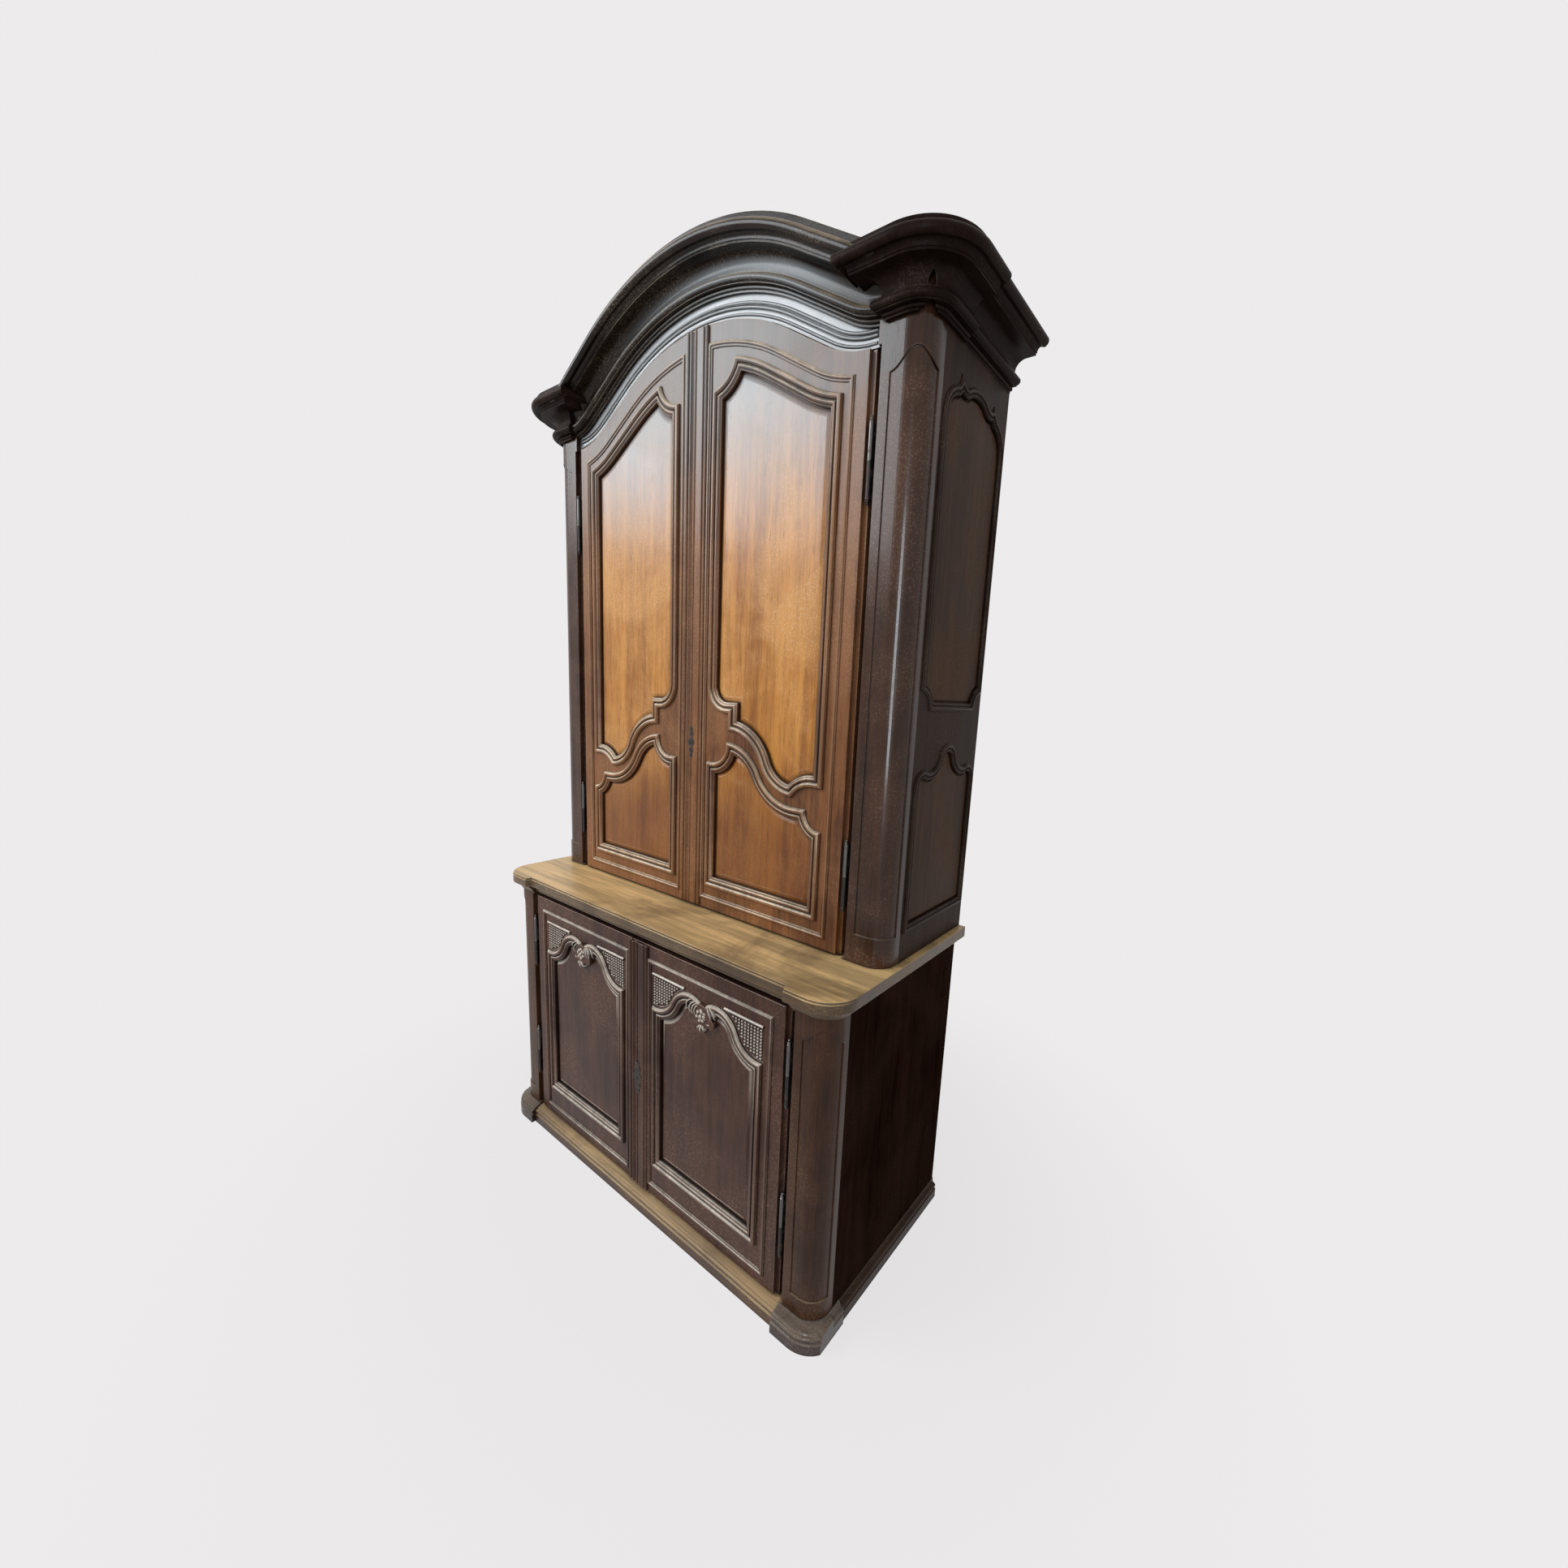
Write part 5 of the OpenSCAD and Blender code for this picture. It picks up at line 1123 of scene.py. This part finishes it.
@dataclass
class Doors(SubAssembly):
    """Four panelled doors with their closing strips and carving; sizes in millimetres for a right-hand door."""

    TABLE = {
        "frames": "upper_*_door_frame upper_closing_strip",
        "panels": "upper_*_door_panels",
        "lower": "lower_*_door_frame lower_*_door_panel lower_closing_strip lower_*_door_carving",
    }

    # bluish painted sheen near the top, and painted highlight on upward faces that look a little forward
    frames: OakFinish = OakFinish(
        "red_brown_frames", (60, 18, 5), (215, 79, 23), (295, 125, 45), (500, 310, 170),
        wear=0.7, sheen=0.28, painted_sheen=0.68, painted_sheen_from=1.95, painted_sheen_tint=(165, 185, 185),
        painted_top_highlight_share=0.85, painted_top_highlight=(880, 720, 520), flat_tops=False,
    )
    # bluish painted sheen near the top, standing in for the window's reflection, and painted shade towards the bottom
    panels: OakFinish = OakFinish(
        "amber_panels", (260, 83, 11), (580, 240, 44), (710, 350, 100), (850, 620, 380),
        polish=0.27, sheen=0.34, bump=0.45, painted_low_shade=1, painted_sheen=0.88, painted_sheen_to=2.42, painted_sheen_tint=(250, 290, 310),
    )
    # whitish painted highlight on upward faces that look a little forward
    lower: OakFinish = OakFinish(
        "plum_brown_doors", (22, 7, 4), (70, 27, 15), (105, 47, 30), (360, 230, 160),
        polish=0.3, wear=0.7, sheen=0.18, painted_top_highlight_share=0.9, painted_top_highlight=(800, 700, 580), flat_tops=False,
    )
    # heavy wear with painted highlight on crests and edges, and painted highlight on faces that look up
    ornament: OakFinish = OakFinish(
        "rubbed_and_highlit_carving", (22, 7, 4), (70, 27, 15), (105, 47, 30), (620, 520, 440),
        polish=0.24, wear=2.4, sheen=0.3, painted_top_highlight_share=0.9, painted_top_highlight=(950, 840, 700),
    )
    upper_y: float = -105
    lower_y: float = -298
    net_start: Pair = (6.5, 11)
    net_step: Pair = (10.6, 8.4)
    net_count: tuple[int, int] = (39, 11)
    net_clear: float = 10
    net_edge: Pair = (4, 2)
    net_gap: float = 56
    stud_foot: Pair = (4.1, 3)
    stud_top: Pair = (2.8, 1.6)
    stud_sink: float = 2.2
    stud_rise: float = 4.2
    bar_gap: float = 76
    bar_up: float = 5
    bar_size: Pair = (4.2, 5.5)
    boss: Pair = (276, 736)
    boss_rise: float = 11
    boss_size: float = 6.6
    berry_ring: float = 13.5
    berry_size: float = 5.6

    def mouldings(self, shop: FinishShop) -> None:
        """Lays the rounded mouldings, the panels' sloped margins, the framing beads and the carving over the doors.

        Args:
            shop: maker of the materials.
        """
        upper, lower = (partial(moulding, face_y=face_y) for face_y in (self.upper_y, self.lower_y))
        framing = [upper(SHAPES.tall, PANEL_SECTION), upper(SHAPES.short, PANEL_SECTION)]
        framing.append(upper(SHAPES.upper_bead, BEAD_SECTION))
        low_framing = [lower(SHAPES.scroll, PANEL_SECTION), lower(SHAPES.lower_bead, BEAD_SECTION)]
        margins = [upper(SHAPES.tall, MARGIN_SECTION), upper(SHAPES.short, MARGIN_SECTION)]
        pieces = (
            ("upper", "door_mouldings", joined(framing), self.frames),
            ("upper", "panel_margins", joined(margins), self.panels),
            ("lower", "door_mouldings", joined(low_framing), self.lower),
            ("lower", "panel_margin", lower(SHAPES.scroll, MARGIN_SECTION), self.lower),
            ("lower", "carved_leaf", self.carving(), self.ornament),
            ("lower", "trellis", self.trellis(), self.ornament),
        )
        for hand in HANDS:
            for body, thing, surface, finish in pieces:
                turned = mirrored(surface) if hand == "left" else surface
                name, door = f"{body}_{hand}_{thing}", f"{body}_{hand}_door"
                new_piece(name, turned, shop.material(finish), door, smooth=thing != "trellis")

    def trellis(self) -> Surface:
        """Net of small studs in the sunk corners over the scrolls, in level rows, under a straight bar.

        Returns:
            The surface for a right-hand door.
        """
        left, right, crest = SHAPES.panel_in, SHAPES.panel_out, SHAPES.crest_low
        middle = (left + right) / 2
        row, column = np.meshgrid(*(np.arange(count) for count in self.net_count[::-1]), indexing="ij")
        steps = np.stack([column.ravel(), row.ravel()], axis=1)
        centres = at(left, SHAPES.side_low) + self.net_start + steps * self.net_step
        free = ~within(centres, SHAPES.scroll(-self.net_clear)) & (np.abs(centres[:, 0] - middle) > self.net_gap)
        free &= np.all(centres < at(right, crest) - self.net_edge, axis=1)
        parts = [studs(centres[free], self.stud_foot, self.stud_top, self.lower_y + self.stud_sink, self.stud_rise)]
        for start, end in ((left - 1, middle - self.bar_gap), (middle + self.bar_gap, right + 1)):
            path = np.stack([np.linspace(start, end, 4), np.full(4, crest + self.bar_up)], axis=1)
            parts.append(rib(path, *(np.full(4, size) for size in self.bar_size), self.lower_y))
        return joined(parts)

    def carving(self) -> Surface:
        """Carved drop: curled leaves whose ribs are quadratic curves, and berries round a boss.

        Returns:
            The surface for a right-hand door.
        """
        t = np.linspace(0, 1, 9)[:, None]
        swell = 0.94 * np.sqrt(np.maximum(0, 1 - (2 * t[:, 0] - 1) ** 2)) + 0.06
        parts = []
        for first, bend, last, width, height in LEAVES:
            weights = np.concatenate([(1 - t) ** 2, 2 * t * (1 - t), t**2], axis=1)
            path = self.boss + weights @ np.array([first, bend, last], dtype=float)
            parts.append(rib(path, width * swell, (height + self.boss_rise) * swell, self.lower_y, 8))
        berries = [(math.radians(60 * i + 15), self.berry_ring, self.berry_size) for i in range(6)]
        for angle, reach, size in (*berries, (0, 0, self.boss_size)):
            spot = self.boss + reach * at(math.cos(angle), math.sin(angle))
            path = spot + (2 * t - 1) * [size, 0]
            parts.append(rib(path, size * swell, size * 1.15 * swell, self.lower_y - self.boss_rise, 8))
        return joined(parts)


@dataclass
class Ironwork(SubAssembly):
    """Hinges, plates, locks and bolts."""

    TABLE = {
        "dark": "upper_lock_case lower_lock_case upper_keyhole_plate lower_keyhole_plate upper_door_bolt"
        " lower_door_bolt upper_bolt_staples lower_bolt_staples upper_hinge_seats lower_hinge_seats",
        "bright": "upper_*_hinges lower_*_hinges hinge_pins upper_lock_bolt lower_lock_bolt",
    }

    dark: IronFinish = IronFinish("forged_black", (35, 32, 30), (420, 400, 370), (75, 35, 18))
    bright: IronFinish = IronFinish("worn_steel", (110, 105, 100), (620, 600, 570), (70, 45, 30), 0.3)


def placed(back: Array, place: Place, roll: float = 0) -> Matrix:
    """Matrix of a lamp or a camera: back, a level axis to its right, and up square to both, rolled about back.

    Args:
        back: the line away from what it faces.
        place: where it hangs.
        roll: angle of the roll.

    Returns:
        The matrix.
    """
    back = back / np.linalg.norm(back)
    right = np.cross((0, 0, 1), back)
    right /= np.linalg.norm(right)
    right = math.cos(roll) * right + math.sin(roll) * np.cross(back, right)
    matrix = np.eye(4)
    matrix[:3] = np.stack([right, np.cross(back, right), back, place], axis=1)
    return Matrix(matrix.tolist())


@dataclass(frozen=True)
class Lamp:
    """Soft oblong lamp: where it hangs, what it faces, its size in metres and its power in watts."""

    name: str
    place: Place
    aim: Place
    size: Pair
    power: float
    colour: Colour

    def hang(self) -> None:
        """Hangs the lamp: its back axis points away from the aim, its right axis stays level."""
        data = bpy.data.lights.new(self.name, "AREA")
        data.shape = "RECTANGLE"
        data.size, data.size_y = self.size
        data.energy = self.power
        data.color = shade(self.colour, 1 / FULL)
        new_object(self.name, data).matrix_world = placed(np.subtract(self.place, self.aim), self.place)


@dataclass
class Studio:
    """Pale sweep, soft lamps and the camera at the viewer's place."""

    eye: Place = (1.3704, -1.3409, 1.5891)
    forward: Place = (-0.6048, 0.7769, -0.1747)
    roll: float = 0.0454
    sensor: float = 36
    lens: float = 14.105
    shift: Pair = (-0.0092, 0.0098)
    clip: Pair = (0.05, 200)
    white: Colour = (1000, 1000, 1000)
    pale: Colour = (847, 831, 839)
    bounce: Colour = (200, 170, 150)
    shade: float = 0.15
    near: float = 0.5
    far: float = 1.9
    world_light: float = 0.3
    sheet_front: float = -20
    sheet_reach: float = 9
    sheet_radius: float = 4
    sheet_rise: float = 40
    sheet_wide: float = 60
    sheet_turn: float = 0.66
    lamps: tuple[Lamp, ...] = (
        Lamp("window", (-2.9, -3.3, 4.05), (0, -0.1, 1.9), (3.2, 2.3), 205, (920, 960, 1000)),
        Lamp("fill", (2.6, -4.2, 1.95), (0.6, -0.1, 1.7), (0.5, 2.4), 90, (860, 920, 1000)),
    )

    def camera(self) -> None:
        """Makes the camera: its back axis is the view line turned about, its right axis rolls about it."""
        data = bpy.data.cameras.new("viewer")
        data.sensor_width = self.sensor
        data.lens = self.lens
        data.shift_x, data.shift_y = self.shift
        data.clip_start, data.clip_end = self.clip
        camera = new_object("viewer", data)
        camera.matrix_world = placed(-np.array(self.forward), self.eye, self.roll)
        bpy.context.scene.camera = camera

    @staticmethod
    def _seen(make: NodeMaker) -> Socket:
        """Marks the rays that show the background itself: from the camera, off metal and through glass.

        Args:
            make: the tree to add the nodes to.

        Returns:
            A socket that is 1 for those rays.
        """
        path = make.add("LightPath")
        shown = make.plus(path["Is Camera Ray"], path["Is Glossy Ray"], clamp=True)
        return make.plus(shown, path["Is Transmission Ray"], clamp=True)

    def _sweep_material(self) -> Material:
        """Pale sheet that shows its own colour, with a share of plain reflection near the feet for the shadow.

        Returns:
            The material.
        """
        material = bpy.data.materials.new("pale_sweep")
        material.use_nodes = True
        make = NodeMaker(material.node_tree)
        seen = self._seen(make)
        away = make.add("VectorMath", {0: make.add("TexCoord")["Object"]}, operation="LENGTH")["Value"]
        around = make.minus(1, make.ramp(away, self.near, self.far))
        share = make.times(seen, make.minus(1, make.times(around, self.shade)))
        plain = make.add("BsdfDiffuse", {"Color": make.mix(seen, self.bounce, self.pale)})[0]
        glow = make.add("Emission", {"Color": self.pale, "Strength": 1})[0]
        make.add("OutputMaterial", {"Surface": make.add("MixShader", {0: share, 1: plain, 2: glow})[0]})
        return material

    def sweep(self) -> None:
        """Makes floor and backdrop as one sheet: flat, then a quarter round, then upright, turned to the viewer."""
        reach, radius = self.sheet_reach, self.sheet_radius
        turn = np.linspace(0, math.pi / 2, 17)
        ys = np.concatenate(([self.sheet_front, reach], reach + radius * np.sin(turn[1:]), [reach + radius]))
        zs = np.concatenate(([0, 0], radius - radius * np.cos(turn[1:]), [self.sheet_rise]))
        xs = np.array([[-self.sheet_wide, self.sheet_wide]])
        grid = np.stack(np.broadcast_arrays(xs, ys[:, None], zs[:, None]), axis=-1)
        cos, sin = math.cos(self.sheet_turn), math.sin(self.sheet_turn)
        points = grid.reshape(-1, 3) @ np.array([[cos, sin, 0], [-sin, cos, 0], [0, 0, 1]])
        low = np.arange(len(ys) - 1) * 2
        faces = np.stack([low, low + 1, low + 3, low + 2], axis=1)
        mesh = bpy.data.meshes.new("studio_sweep")
        mesh.from_pydata(points.tolist(), [], faces.tolist())
        mesh.polygons.foreach_set("use_smooth", np.full(len(faces), True))
        mesh.materials.append(self._sweep_material())
        sheet = new_object("studio_sweep", mesh)

    def world(self) -> None:
        """Makes the surroundings: the background's own colour where it is seen, a dimmer light elsewhere."""
        world = bpy.data.worlds.new("studio")
        world.use_nodes = True
        make = NodeMaker(world.node_tree)
        light = make.add("Background", {"Color": self.white, "Strength": self.world_light})[0]
        shown = make.add("Background", {"Color": self.pale, "Strength": 1})[0]
        both = make.add("MixShader", {0: self._seen(make), 1: light, 2: shown})[0]
        make.add("OutputWorld", {"Surface": both})
        bpy.context.scene.world = world

    def build(self) -> None:
        """Makes the camera, the sweep, the lamps and the surroundings."""
        bpy.context.scene.view_settings.view_transform = "Standard"
        self.camera()
        self.sweep()
        for lamp in self.lamps:
            lamp.hang()
        self.world()


def main() -> None:
    """Builds the studio and dresses the buffet, part by part."""
    logging.basicConfig(level=logging.INFO, format="%(message)s")
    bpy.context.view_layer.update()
    Studio().build()
    shop = FinishShop(SharedEffects())
    for part in (LowerBody(), UpperBody(), Doors(), Ironwork()):
        LOG.info("dressing %s", type(part).__name__)
        part.finish(shop)


if __name__ == "__main__":
    main()
